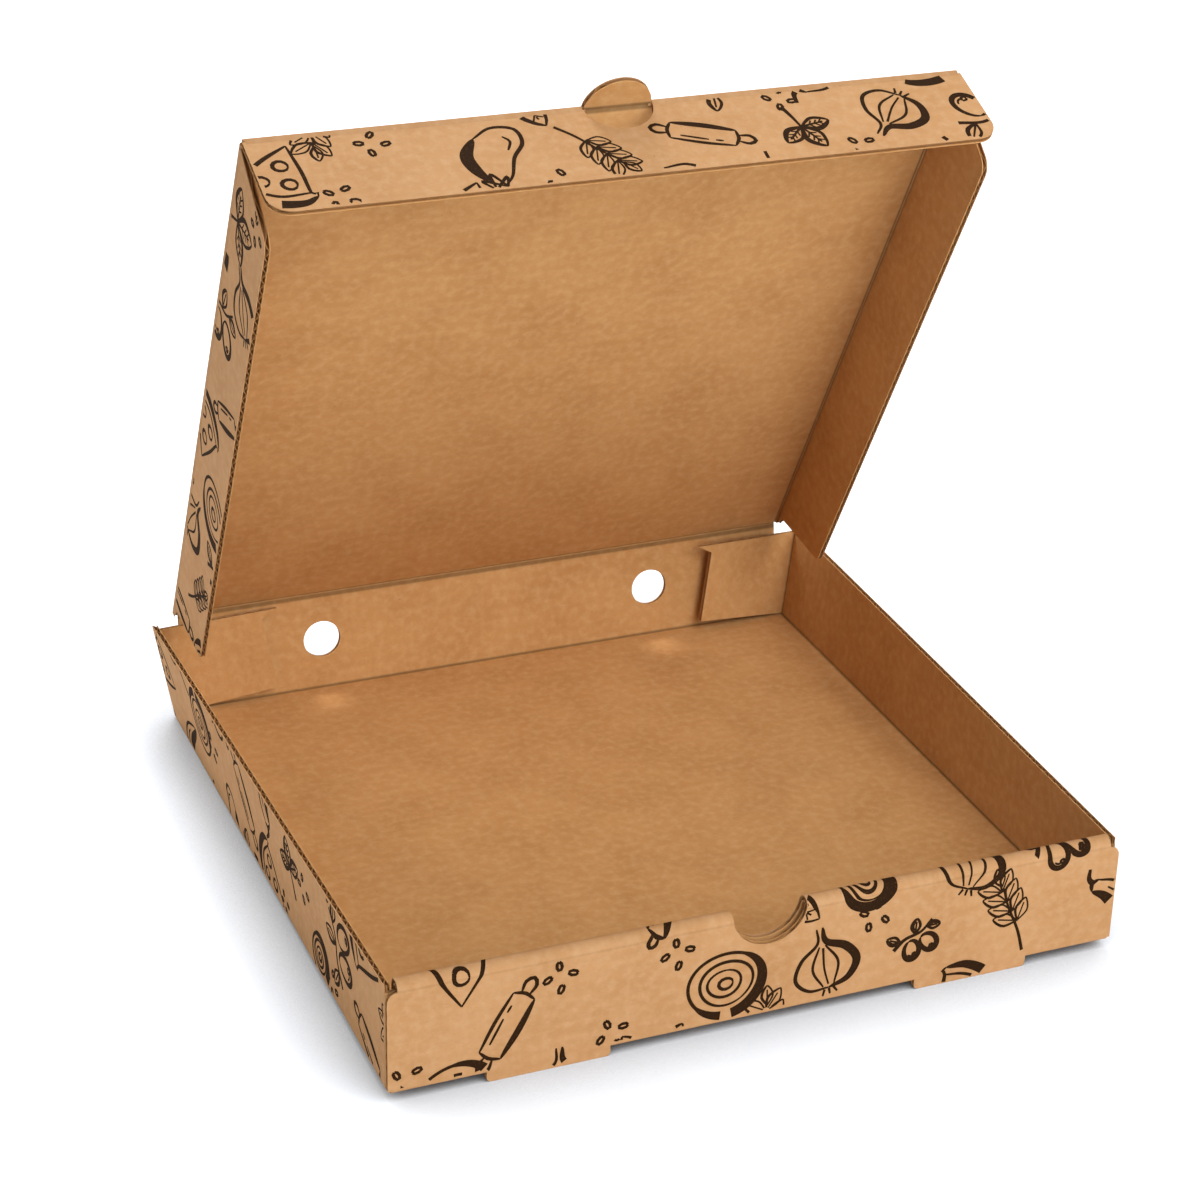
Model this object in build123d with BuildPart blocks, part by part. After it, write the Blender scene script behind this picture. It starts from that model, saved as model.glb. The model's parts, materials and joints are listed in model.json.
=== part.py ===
from build123d import *
from math import cos, hypot, radians, sin
import os

# A take-away pizza box folded from one die-cut sheet of corrugated board, standing with
# its lid held open. The panels are drawn about the middle of the board, and every fold
# is a round bead about the line where two middles meet.
# The origin is under the middle of the footprint, the box faces -Y, and +Z is up.

# Board
BOARD = 2.6             # thickness of the board
LAYER_GAP = 0.1         # air between two boards folded onto each other
CREASE_GAP = 0.3        # air between the bead of a moving fold and the next panel
CREASE_RUN = 3.2        # width of the strip that is crushed beside a moving fold
REST_GAP = 0.3          # air between a folded edge and the board under it

# Tray
TRAY_WIDTH = 332.0      # across the feet of the side walls
TRAY_DEPTH = 337.0      # from the front wall to the foot of the rear wall
SIDE_HEIGHT = 49.5      # from under the floor to the raw top of a side wall
SIDE_SPREAD = 8.0       # how far a side wall leans out at its rear end
REAR_LEAN = 5.3         # how far the rear wall leans back at the hinge line
HINGE_HEIGHT = 52.0     # from under the floor to the hinge line of the lid
REAR_WALL_INSET = 5.8   # from a side wall's outer face to the end of the rear wall

# Front wall: an outer board, the folded-in ends of the side walls and an inner board
WALL_LAYERS = 3
FRONT_HEIGHT = 51.7     # from under the floor to the top of the rolled edge
ROLL_INSET = 4.5        # from the end of the outer board to the end of the rolled edge
NOTCH_RADIUS = 17.0     # thumb notch in the middle of the rolled edge
TRAPPED_LENGTH = 92.0   # reach of the side walls' ends between the two boards
TRAPPED_HEIGHT = 46.5

# Locks of the inner board in the floor
LOCK_INNER_END = 70.0   # from the middle of the box to the near end of a lock
LOCK_OUTER_END = 124.0
LIP_DROP = 4.2          # how far the lips hang below the floor
LIP_CORNER = 2.0
SLOT_MARGIN = 0.4       # air behind the inner board in its slot
TAB_MARGIN = 2.0        # air beside a tab in its slot
TAB_DROP = 2.0          # how far the inner board's tabs reach below the floor

# Rear corner flaps, folded in from the side walls in front of the rear wall
CORNER_FLAP_LENGTH = 51.5
CORNER_FLAP_TOP = 46.6      # height of the flap along its fold
CORNER_FLAP_START = 1.6
CORNER_FREE_FOOT = -1.4     # level of the free end's lower corner along the fold
CORNER_FREE_NECK = 36.4     # level of the free end under its ear
EAR_LENGTH = 8.6            # how far the ear reaches past the free end
EAR_LEVEL = 39.6            # level of the ear's point
CORNER_LAYER_GAP = 0.15
LEFT_STAND_OFF = 2.0        # degrees between the left flap and the rear wall
RIGHT_STAND_OFF = 7.0

# Vent holes in the rear wall
VENT_RADIUS = 9.5
VENT_PLACE = 88.5       # from the middle of the box
VENT_HEIGHT = 28.0      # from under the floor

# Lid
LID_ANGLE = 61.7        # degrees that the lid stands open above the level
LID_LENGTH = 324.0      # from the hinge line to the front fold
LID_CLEARANCE = 0.3     # air on each side between the closed lid and the side walls
THUMB_TAB_RADIUS = 15.5
THUMB_TAB_GAP = 0.4     # air between the thumb tab and its cut-out in the front flap

# Lid flaps
SIDE_FLAP_DEPTH = 45.0
SIDE_FLAP_REAR = (1.8, 6.0, 10.6, 26.5)     # places of the rear edge along the lid
SIDE_FLAP_REAR_DEPTH = (3.9, 5.6)           # depths of the two bends in that edge
SIDE_FLAP_FRONT_GAP = 2.1                   # from the front fold to the near end
SIDE_FLAP_TAPER = 10.9                      # how far the end slants back at full depth
SIDE_FLAP_CORNER = 7.0
SIDE_FLAP_REAR_CORNER = 3.0
FRONT_FLAP_DEPTH = 44.9
FRONT_FLAP_SPLAY = 5.5                      # degrees that it stands out from square
FRONT_FLAP_INSET = 0.5                      # each end's step in from the lid's edge
FRONT_FLAP_CORNER = 10.0

# Derived places
HALF = BOARD / 2
FLOOR = LIP_DROP                                    # level under the floor
FRONT = -(TRAY_DEPTH + REAR_LEAN) / 2               # outer face of the front wall
REAR = FRONT + TRAY_DEPTH                           # outer face of the rear wall's foot
HINGE_Y = -FRONT - HALF
HINGE_Z = FLOOR + HINGE_HEIGHT
SIDE_X = TRAY_WIDTH / 2 - HALF
SIDE_TOP = FLOOR + SIDE_HEIGHT
FOLD_Z = FLOOR + HALF                               # middle of the floor board
ABOVE_FLOOR = FLOOR + BOARD + REST_GAP
WALL_DEPTH = WALL_LAYERS * BOARD + (WALL_LAYERS - 1) * LAYER_GAP
ROLL_RADIUS = WALL_DEPTH / 2
ROLL_Z = FLOOR + FRONT_HEIGHT - ROLL_RADIUS
ROLL_LENGTH = TRAY_WIDTH - 2 * ROLL_INSET
TRAPPED_Y = FRONT + BOARD + LAYER_GAP + HALF
REAR_RISE = HINGE_Z - FOLD_Z
REAR_FOOT_Y = REAR - HALF
REAR_WALL_WIDTH = TRAY_WIDTH - 2 * REAR_WALL_INSET
REAR_SLOPE = (HINGE_Y - REAR_FOOT_Y) / REAR_RISE
CORNER_Y = REAR_FOOT_Y - (BOARD + CORNER_LAYER_GAP) * hypot(1, REAR_SLOPE)
LID_HALF = SIDE_X - BOARD - LID_CLEARANCE           # from the middle to a side fold
CREASE_START = HALF + CREASE_GAP                    # where a panel starts beside a bead
CRUSH_DEPTH = HALF * (1 - CREASE_START / CREASE_RUN)
THUMB_CUT_RADIUS = THUMB_TAB_RADIUS + THUMB_TAB_GAP

# Planes of the panels
rear_plane = Plane(
    origin=(0, REAR_FOOT_Y, FOLD_Z),
    x_dir=(1, 0, 0),
    z_dir=(0, -1, REAR_SLOPE),
)
lid_plane = Plane(
    origin=(0, HINGE_Y, HINGE_Z),
    x_dir=(1, 0, 0),
    z_dir=(0, -sin(radians(LID_ANGLE)), -cos(radians(LID_ANGLE))),
)
lid_along = lid_plane.y_dir
lid_inward = lid_plane.z_dir
front_flap_down = (
    lid_inward * cos(radians(FRONT_FLAP_SPLAY)) + lid_along * sin(radians(FRONT_FLAP_SPLAY))
)


def side_section(side, level):
    """Plan of a side wall at a level, from its foot to its raw top."""
    rise = level - FOLD_Z
    lean = SIDE_SPREAD * rise / (SIDE_TOP - FOLD_Z)
    rear_y = CORNER_Y + REAR_SLOPE * rise
    with BuildSketch(Plane.XY.offset(level)) as section:
        with BuildLine():
            Polyline(
                (side * (SIDE_X - HALF), TRAPPED_Y),
                (side * (SIDE_X + HALF), TRAPPED_Y),
                (side * (SIDE_X + lean + HALF), rear_y),
                (side * (SIDE_X + lean - HALF), rear_y),
                close=True,
            )
        make_face()
    return section.sketch


def corner_flap_plane(side, stand_off):
    """Plane of a rear corner flap: X away from its fold, Y up along the fold."""
    rise = SIDE_TOP - FOLD_Z
    fold = Vector(side * SIDE_SPREAD, REAR_SLOPE * rise, rise).normalized()
    forward = Vector(0, -1, REAR_SLOPE).normalized()
    inward = forward.cross(fold) * side
    turned = inward * cos(radians(stand_off)) + forward * sin(radians(stand_off))
    return Plane(
        origin=(side * SIDE_X, CORNER_Y, FOLD_Z),
        x_dir=turned,
        z_dir=turned.cross(fold),
    )


def corner_flap_outline(plane):
    """Outline of a rear corner flap with the barbed ear at the top of its free end."""
    with BuildSketch(plane) as outline:
        with BuildLine():
            Polyline(
                (0, CORNER_FLAP_START),
                (CORNER_FLAP_LENGTH, CORNER_FREE_FOOT),
                (CORNER_FLAP_LENGTH, CORNER_FREE_NECK),
                (CORNER_FLAP_LENGTH + EAR_LENGTH, EAR_LEVEL),
                (0, CORNER_FLAP_TOP),
                close=True,
            )
        make_face()
    return outline.sketch


def bead(start, end):
    """Round section of a fold, as a rod about the line from start to end."""
    start = Vector(start)
    run = Vector(end) - start
    with BuildPart() as rod:
        with BuildSketch(Plane(origin=start, z_dir=run)):
            Circle(HALF)
        extrude(amount=run.length)
    return rod.part


# Tray
with BuildPart() as tray:
    # Floor
    with BuildSketch(Plane.XY.offset(FLOOR)):
        with Locations((0, (FRONT + REAR) / 2)):
            Rectangle(2 * SIDE_X, TRAY_DEPTH - BOARD)
    extrude(amount=BOARD)
    add(bead((-SIDE_X, FRONT + HALF, FOLD_Z), (SIDE_X, FRONT + HALF, FOLD_Z)))

    # Side walls, leaning out towards their rear ends
    for side in (-1, 1):
        loft([side_section(side, FOLD_Z), side_section(side, SIDE_TOP)], ruled=True)
        add(bead((side * SIDE_X, TRAPPED_Y, FOLD_Z), (side * SIDE_X, CORNER_Y, FOLD_Z)))

    # Ends of the side walls, folded in between the two boards of the front wall
    for side in (-1, 1):
        with BuildSketch(Plane.XZ.offset(-TRAPPED_Y)):
            with BuildLine():
                Polyline(
                    (side * SIDE_X, ABOVE_FLOOR),
                    (side * SIDE_X, FLOOR + TRAPPED_HEIGHT),
                    (side * (SIDE_X - TRAPPED_LENGTH), FLOOR + TRAPPED_HEIGHT),
                    (side * (SIDE_X - TRAPPED_LENGTH), ABOVE_FLOOR),
                    close=True,
                )
            make_face()
        extrude(amount=HALF, both=True)
        add(
            bead(
                (side * SIDE_X, TRAPPED_Y, FOLD_Z),
                (side * SIDE_X, TRAPPED_Y, FLOOR + TRAPPED_HEIGHT),
            )
        )

    # Outer board of the front wall, with rounded shoulders below the rolled edge
    with BuildSketch(Plane.XZ.offset(-FRONT - BOARD)):
        with Locations((0, (FOLD_Z + ROLL_Z) / 2)):
            panel = Rectangle(TRAY_WIDTH, ROLL_Z - FOLD_Z)
        fillet(panel.vertices().group_by(Axis.Y)[-1], ROLL_INSET)
    extrude(amount=BOARD)

    # Rolled edge and inner board
    with BuildSketch(Plane.YZ.offset(-ROLL_LENGTH / 2)):
        with BuildLine():
            Line((FRONT, ROLL_Z), (FRONT + BOARD, ROLL_Z))
            ThreePointArc(
                (FRONT + BOARD, ROLL_Z),
                (FRONT + ROLL_RADIUS, ROLL_Z + ROLL_RADIUS - BOARD),
                (FRONT + WALL_DEPTH - BOARD, ROLL_Z),
            )
            Polyline(
                (FRONT + WALL_DEPTH - BOARD, ROLL_Z),
                (FRONT + WALL_DEPTH - BOARD, ABOVE_FLOOR),
                (FRONT + WALL_DEPTH, ABOVE_FLOOR),
                (FRONT + WALL_DEPTH, ROLL_Z),
            )
            ThreePointArc(
                (FRONT + WALL_DEPTH, ROLL_Z),
                (FRONT + ROLL_RADIUS, ROLL_Z + ROLL_RADIUS),
                (FRONT, ROLL_Z),
            )
        make_face()
    extrude(amount=ROLL_LENGTH)

    # Thumb notch through both boards
    with BuildSketch(Plane.XZ.offset(-FRONT)):
        with Locations((0, FLOOR + FRONT_HEIGHT)):
            Circle(NOTCH_RADIUS)
    extrude(amount=-WALL_DEPTH, mode=Mode.SUBTRACT)

    # Locks: a slot in the floor, the lip cut out of it and the inner board's tab
    lock_length = LOCK_OUTER_END - LOCK_INNER_END
    for side in (-1, 1):
        lock_x = side * (LOCK_INNER_END + LOCK_OUTER_END) / 2
        slot_end = FRONT + WALL_DEPTH + SLOT_MARGIN
        with BuildSketch(Plane.XY.offset(FLOOR)):
            with Locations((lock_x, (FRONT + BOARD + slot_end) / 2)):
                Rectangle(lock_length, slot_end - FRONT - BOARD)
        extrude(amount=BOARD, mode=Mode.SUBTRACT)
        with BuildSketch(Plane.XZ.offset(-FRONT - BOARD)):
            with Locations((lock_x, ABOVE_FLOOR / 2)):
                lip = Rectangle(lock_length, ABOVE_FLOOR)
            fillet(lip.vertices().group_by(Axis.Y)[0], LIP_CORNER)
        extrude(amount=BOARD)
        with BuildSketch(Plane.XZ.offset(-FRONT - WALL_DEPTH)):
            with Locations((lock_x, (ABOVE_FLOOR + FLOOR - TAB_DROP) / 2)):
                Rectangle(lock_length - 2 * TAB_MARGIN, ABOVE_FLOOR - FLOOR + TAB_DROP)
        extrude(amount=BOARD)

    # Rear wall, leaning back, with its two vent holes
    rear_height = hypot(REAR_RISE, HINGE_Y - REAR_FOOT_Y)
    with BuildSketch(rear_plane):
        with Locations((0, rear_height / 2)):
            Rectangle(REAR_WALL_WIDTH, rear_height)
        with Locations(
            (-VENT_PLACE, VENT_HEIGHT - HALF),
            (VENT_PLACE, VENT_HEIGHT - HALF),
        ):
            Circle(VENT_RADIUS, mode=Mode.SUBTRACT)
    extrude(amount=HALF, both=True)
    rear_end = REAR_WALL_WIDTH / 2
    add(bead((-rear_end, REAR_FOOT_Y, FOLD_Z), (rear_end, REAR_FOOT_Y, FOLD_Z)))
    add(bead((-rear_end, HINGE_Y, HINGE_Z), (rear_end, HINGE_Y, HINGE_Z)))

    # Rear corner flaps
    for side, stand_off in ((-1, LEFT_STAND_OFF), (1, RIGHT_STAND_OFF)):
        flap_plane = corner_flap_plane(side, stand_off)
        extrude(corner_flap_outline(flap_plane), amount=HALF, both=True)
        add(
            bead(
                (side * SIDE_X, CORNER_Y, FOLD_Z),
                flap_plane.from_local_coords(Vector(0, CORNER_FLAP_TOP)),
            )
        )

# Lid panel with its thumb tab
with BuildPart() as lid:
    with BuildSketch(lid_plane):
        with Locations((0, (CREASE_START + LID_LENGTH) / 2)):
            Rectangle(2 * LID_HALF, LID_LENGTH - CREASE_START)
    extrude(amount=HALF, both=True)
    inner_face = lid.faces().sort_by(Axis(lid_plane.origin, lid_inward))[-1]
    across = inner_face.edges().filter_by(Axis.X).sort_by(Axis.Y)
    chamfer(across[-1], CREASE_RUN - CREASE_START, CRUSH_DEPTH, reference=inner_face)
    inner_face = lid.faces().sort_by(Axis(lid_plane.origin, lid_inward))[-1]
    across = inner_face.edges().filter_by(Axis.X).sort_by(Axis.Y)
    chamfer(across[0], CREASE_RUN, HALF, reference=inner_face)
    for side in (0, -1):
        inner_face = lid.faces().sort_by(Axis(lid_plane.origin, lid_inward))[-1]
        along = inner_face.edges().sort_by(Axis.X)[side]
        chamfer(along, CREASE_RUN, HALF, reference=inner_face)

    # Thumb tab, running on in the lid's plane past the front fold
    with BuildSketch(lid_plane):
        with Locations((0, LID_LENGTH)):
            Circle(THUMB_TAB_RADIUS)
    extrude(amount=HALF, both=True)

    # Beads of the side folds and of the front fold on both sides of the thumb tab
    for side in (-1, 1):
        rear_corner = lid_plane.from_local_coords(Vector(side * LID_HALF, CREASE_START))
        bead_end = lid_plane.from_local_coords(Vector(side * LID_HALF, LID_LENGTH - BOARD))
        front_corner = lid_plane.from_local_coords(Vector(side * LID_HALF, LID_LENGTH))
        tab_side = lid_plane.from_local_coords(Vector(side * (THUMB_TAB_RADIUS - HALF), LID_LENGTH))
        add(bead(rear_corner, bead_end))
        add(bead(tab_side, front_corner))


def side_flap(side):
    """One of the lid's side flaps, square to the lid, with a slanted rear end."""
    flap_plane = Plane(
        origin=lid_plane.from_local_coords(Vector(side * LID_HALF, 0, 0)),
        x_dir=lid_along,
        z_dir=(1, 0, 0),
    )
    near_end = LID_LENGTH - SIDE_FLAP_FRONT_GAP
    with BuildPart() as flap:
        with BuildSketch(flap_plane) as outline:
            with BuildLine():
                Polyline(
                    (SIDE_FLAP_REAR[0], CREASE_START),
                    (SIDE_FLAP_REAR[1], SIDE_FLAP_REAR_DEPTH[0]),
                    (SIDE_FLAP_REAR[2], SIDE_FLAP_REAR_DEPTH[1]),
                    (SIDE_FLAP_REAR[3], SIDE_FLAP_DEPTH),
                    (near_end - SIDE_FLAP_TAPER, SIDE_FLAP_DEPTH),
                    (near_end, CREASE_START),
                    close=True,
                )
            make_face()
            fillet(outline.vertices().group_by(Axis.Y)[-1].sort_by(Axis.X)[-1], SIDE_FLAP_CORNER)
            fillet(outline.vertices().sort_by(Axis.X)[:4].sort_by(Axis.Y)[-1], SIDE_FLAP_REAR_CORNER)
        extrude(amount=HALF, both=True)
        inner_face = flap.faces().sort_by(Axis.X)[0 if side > 0 else -1]
        fold_edge = inner_face.edges().sort_by(Axis(flap_plane.origin, lid_inward))[0]
        chamfer(fold_edge, CREASE_RUN - CREASE_START, CRUSH_DEPTH, reference=inner_face)
    return flap.part


with BuildPart() as lid_left_flap:
    add(side_flap(-1))

with BuildPart() as lid_right_flap:
    add(side_flap(1))

# Front flap, hanging from the front fold, with the cut-out that the thumb tab leaves
front_flap_plane = Plane(
    origin=lid_plane.from_local_coords(Vector(0, LID_LENGTH, 0)),
    x_dir=(1, 0, 0),
    z_dir=Vector(1, 0, 0).cross(front_flap_down),
)
with BuildPart() as lid_front_flap:
    with BuildSketch(front_flap_plane):
        with Locations((0, (CREASE_START + FRONT_FLAP_DEPTH) / 2)):
            panel = Rectangle(
                2 * (LID_HALF + HALF - FRONT_FLAP_INSET), FRONT_FLAP_DEPTH - CREASE_START
            )
        fillet(panel.vertices().group_by(Axis.Y)[-1], FRONT_FLAP_CORNER)
    extrude(amount=HALF, both=True)
    inner_face = lid_front_flap.faces().sort_by(Axis(lid_plane.origin, lid_along))[0]
    fold_edge = inner_face.edges().sort_by(Axis(front_flap_plane.origin, front_flap_down))[0]
    chamfer(fold_edge, CREASE_RUN - CREASE_START, CRUSH_DEPTH, reference=inner_face)
    with BuildSketch(front_flap_plane):
        Circle(THUMB_CUT_RADIUS)
    extrude(amount=BOARD, both=True, mode=Mode.SUBTRACT)

tray.part.label = "tray"
lid.part.label = "lid"
lid_left_flap.part.label = "lid_left_flap"
lid_right_flap.part.label = "lid_right_flap"
lid_front_flap.part.label = "lid_front_flap"

os.makedirs("parts", exist_ok=True)
export_step(tray.part, "parts/tray.step")
export_step(lid.part, "parts/lid.step")
export_step(lid_left_flap.part, "parts/lid_left_flap.step")
export_step(lid_right_flap.part, "parts/lid_right_flap.step")
export_step(lid_front_flap.part, "parts/lid_front_flap.step")
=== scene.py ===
# Looks of a take-away pizza box folded from brown corrugated board: two kraft liners with
# a fluted sheet between them, line drawings printed on the outside, and a plain inside.

import json
import logging
import math
import random
from collections.abc import Callable, Iterable
from dataclasses import dataclass, field
from enum import Enum

import bmesh
import bpy
from mathutils import Matrix, Vector


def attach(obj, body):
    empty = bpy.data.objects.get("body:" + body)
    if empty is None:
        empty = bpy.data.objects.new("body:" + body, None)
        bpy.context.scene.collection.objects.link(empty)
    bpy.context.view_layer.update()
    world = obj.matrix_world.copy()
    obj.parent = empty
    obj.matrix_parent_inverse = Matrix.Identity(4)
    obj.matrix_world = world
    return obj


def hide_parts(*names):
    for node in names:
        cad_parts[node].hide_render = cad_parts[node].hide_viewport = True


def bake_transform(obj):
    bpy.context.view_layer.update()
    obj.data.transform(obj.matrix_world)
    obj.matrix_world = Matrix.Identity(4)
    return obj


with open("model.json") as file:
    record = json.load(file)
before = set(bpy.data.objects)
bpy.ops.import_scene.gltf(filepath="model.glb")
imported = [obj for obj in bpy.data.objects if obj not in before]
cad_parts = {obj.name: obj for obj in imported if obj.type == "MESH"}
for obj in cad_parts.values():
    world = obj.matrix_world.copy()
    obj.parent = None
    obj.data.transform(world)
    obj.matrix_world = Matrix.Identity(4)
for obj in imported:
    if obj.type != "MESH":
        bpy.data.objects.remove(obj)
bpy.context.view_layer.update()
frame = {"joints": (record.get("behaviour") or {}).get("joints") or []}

MM = 0.001
# The photograph's width and height in pixels
PHOTO_SIDE = 1200
# Edges that turn by more than this stay crisp
SHARP_ANGLE = math.radians(32)
# Places nearer than this are taken as one place
SAME_PLACE = 1e-7
# Slack for comparing two places in metres, and the digits that they are rounded to
HAIR = 1e-9
DIGITS = 8
# A distance that is further than any fold
FAR = 1.0
# Start of the random numbers that lay out each panel's print
SEEDS = {
    "front_wall": 11, "left_wall": 23, "right_wall": 37, "rear_wall": 41,
    "lid": 53, "left_flap": 59, "right_flap": 61, "front_flap": 71,
}

logging.basicConfig(level=logging.INFO, format="%(message)s")
log = logging.getLogger("pizza_box")

Point = tuple[float, float]
Place = Callable[[float, float, float], Vector]
Level = Callable[[float, float], float]


class Face(Enum):
    """Material slots of a board: what each face of it is made of."""

    OUTSIDE = 0
    INSIDE = 1
    FLUTING = 2


class Nib(Enum):
    """How the width of a drawn line runs from its start to its end."""

    EVEN = "even"
    SWELL = "swell"
    TAPER = "taper"


def linear(hex_colour: str) -> tuple[float, float, float, float]:
    """Turns an sRGB hex colour into linear RGBA.

    Args:
        hex_colour: six hex digits with a leading hash sign.

    Returns:
        The colour as linear red, green, blue and an alpha of 1.
    """
    channels = [int(hex_colour[i : i + 2], 16) / 255 for i in (1, 3, 5)]
    # The curve of the sRGB standard
    red, green, blue = (
        c / 12.92 if c <= 0.04045 else ((c + 0.055) / 1.055) ** 2.4 for c in channels
    )
    return (red, green, blue, 1.0)


def add_node(
    tree: bpy.types.NodeTree,
    kind: str,
    settings: dict | None = None,
    values: dict | None = None,
    links: dict | None = None,
) -> bpy.types.Node:
    """Adds a shader node with its settings, socket values and incoming links.

    Args:
        tree: the material's node tree.
        kind: Blender's type name of the node.
        settings: attributes to set on the node.
        values: socket name or index to default value.
        links: socket name or index to the output socket that feeds it.

    Returns:
        The new node.
    """
    node = tree.nodes.new(kind)
    for key, value in (settings or {}).items():
        setattr(node, key, value)
    for key, value in (values or {}).items():
        node.inputs[key].default_value = value
    for key, socket in (links or {}).items():
        tree.links.new(socket, node.inputs[key])
    return node


def empty_material(name: str) -> tuple[bpy.types.Material, bpy.types.NodeTree]:
    """Makes a material with an empty node tree.

    Args:
        name: the material's name.

    Returns:
        The material and its node tree.
    """
    material = bpy.data.materials.new(name)
    material.use_nodes = True
    material.node_tree.nodes.clear()
    return material, material.node_tree


@dataclass(frozen=True)
class Board:
    """B-flute corrugated board, its papers drawn about 1.5 times too thick so they show."""

    thickness: float = 2.6 * MM
    liner: float = 0.38 * MM
    fluting: float = 0.3 * MM
    flute_pitch: float = 6.3 * MM
    steps_per_flute: int = 8
    # Thickness of the ink, which lies within the board's own thickness
    ink: float = 0.05 * MM
    # Width of the crushed strip beside a moving fold, and the share of the board left at the fold
    crush_run: float = 3.2 * MM
    crush_left: float = 0.32

    @property
    def half(self) -> float:
        """Half the board's thickness."""
        return self.thickness / 2

    @property
    def skin(self) -> float:
        """Level of the bare outer liner, which leaves room for the ink."""
        return self.half - self.ink

    def crushed(self, distance: float) -> float:
        """Level of the inner liner at a distance from a moving fold."""
        share = min(1.0, max(self.crush_left, distance / self.crush_run))
        return -self.half * share


BOARD = Board()


@dataclass(frozen=True)
class Pattern:
    """A cloudy pattern: its grain, and how the noise is spread between two values."""

    # Size of its largest patches, and the number of finer layers in them
    size_mm: float
    detail: float
    # Noise at which the spread starts and ends, and the values that it gives there
    low: float
    high: float
    least: float
    most: float
    roughness: float = 0.55

    def noise(self, tree: bpy.types.NodeTree, place: bpy.types.NodeSocket) -> bpy.types.NodeSocket:
        """Adds the noise itself, on coordinates in millimetres."""
        clouds = add_node(
            tree, "ShaderNodeTexNoise", None,
            {"Scale": 1 / self.size_mm, "Detail": self.detail, "Roughness": self.roughness},
            {"Vector": place},
        )
        return clouds.outputs[0]

    def spread(self, tree: bpy.types.NodeTree, noise: bpy.types.NodeSocket) -> bpy.types.NodeSocket:
        """Spreads the noise between the pattern's two values."""
        spread = add_node(
            tree, "ShaderNodeMapRange", None,
            {
                "From Min": self.low, "From Max": self.high,
                "To Min": self.least, "To Max": self.most,
            },
            {"Value": noise},
        )
        return spread.outputs[0]

    def add(self, tree: bpy.types.NodeTree, place: bpy.types.NodeSocket) -> bpy.types.NodeSocket:
        """Adds the noise and its spread, on coordinates in millimetres."""
        return self.spread(tree, self.noise(tree, place))


def add_in_mm(tree: bpy.types.NodeTree, place: bpy.types.NodeSocket) -> bpy.types.NodeSocket:
    """Adds the turn of coordinates in metres into millimetres."""
    scaled = add_node(
        tree, "ShaderNodeVectorMath", {"operation": "SCALE"}, {"Scale": 1 / MM}, {0: place}
    )
    return scaled.outputs[0]


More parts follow.
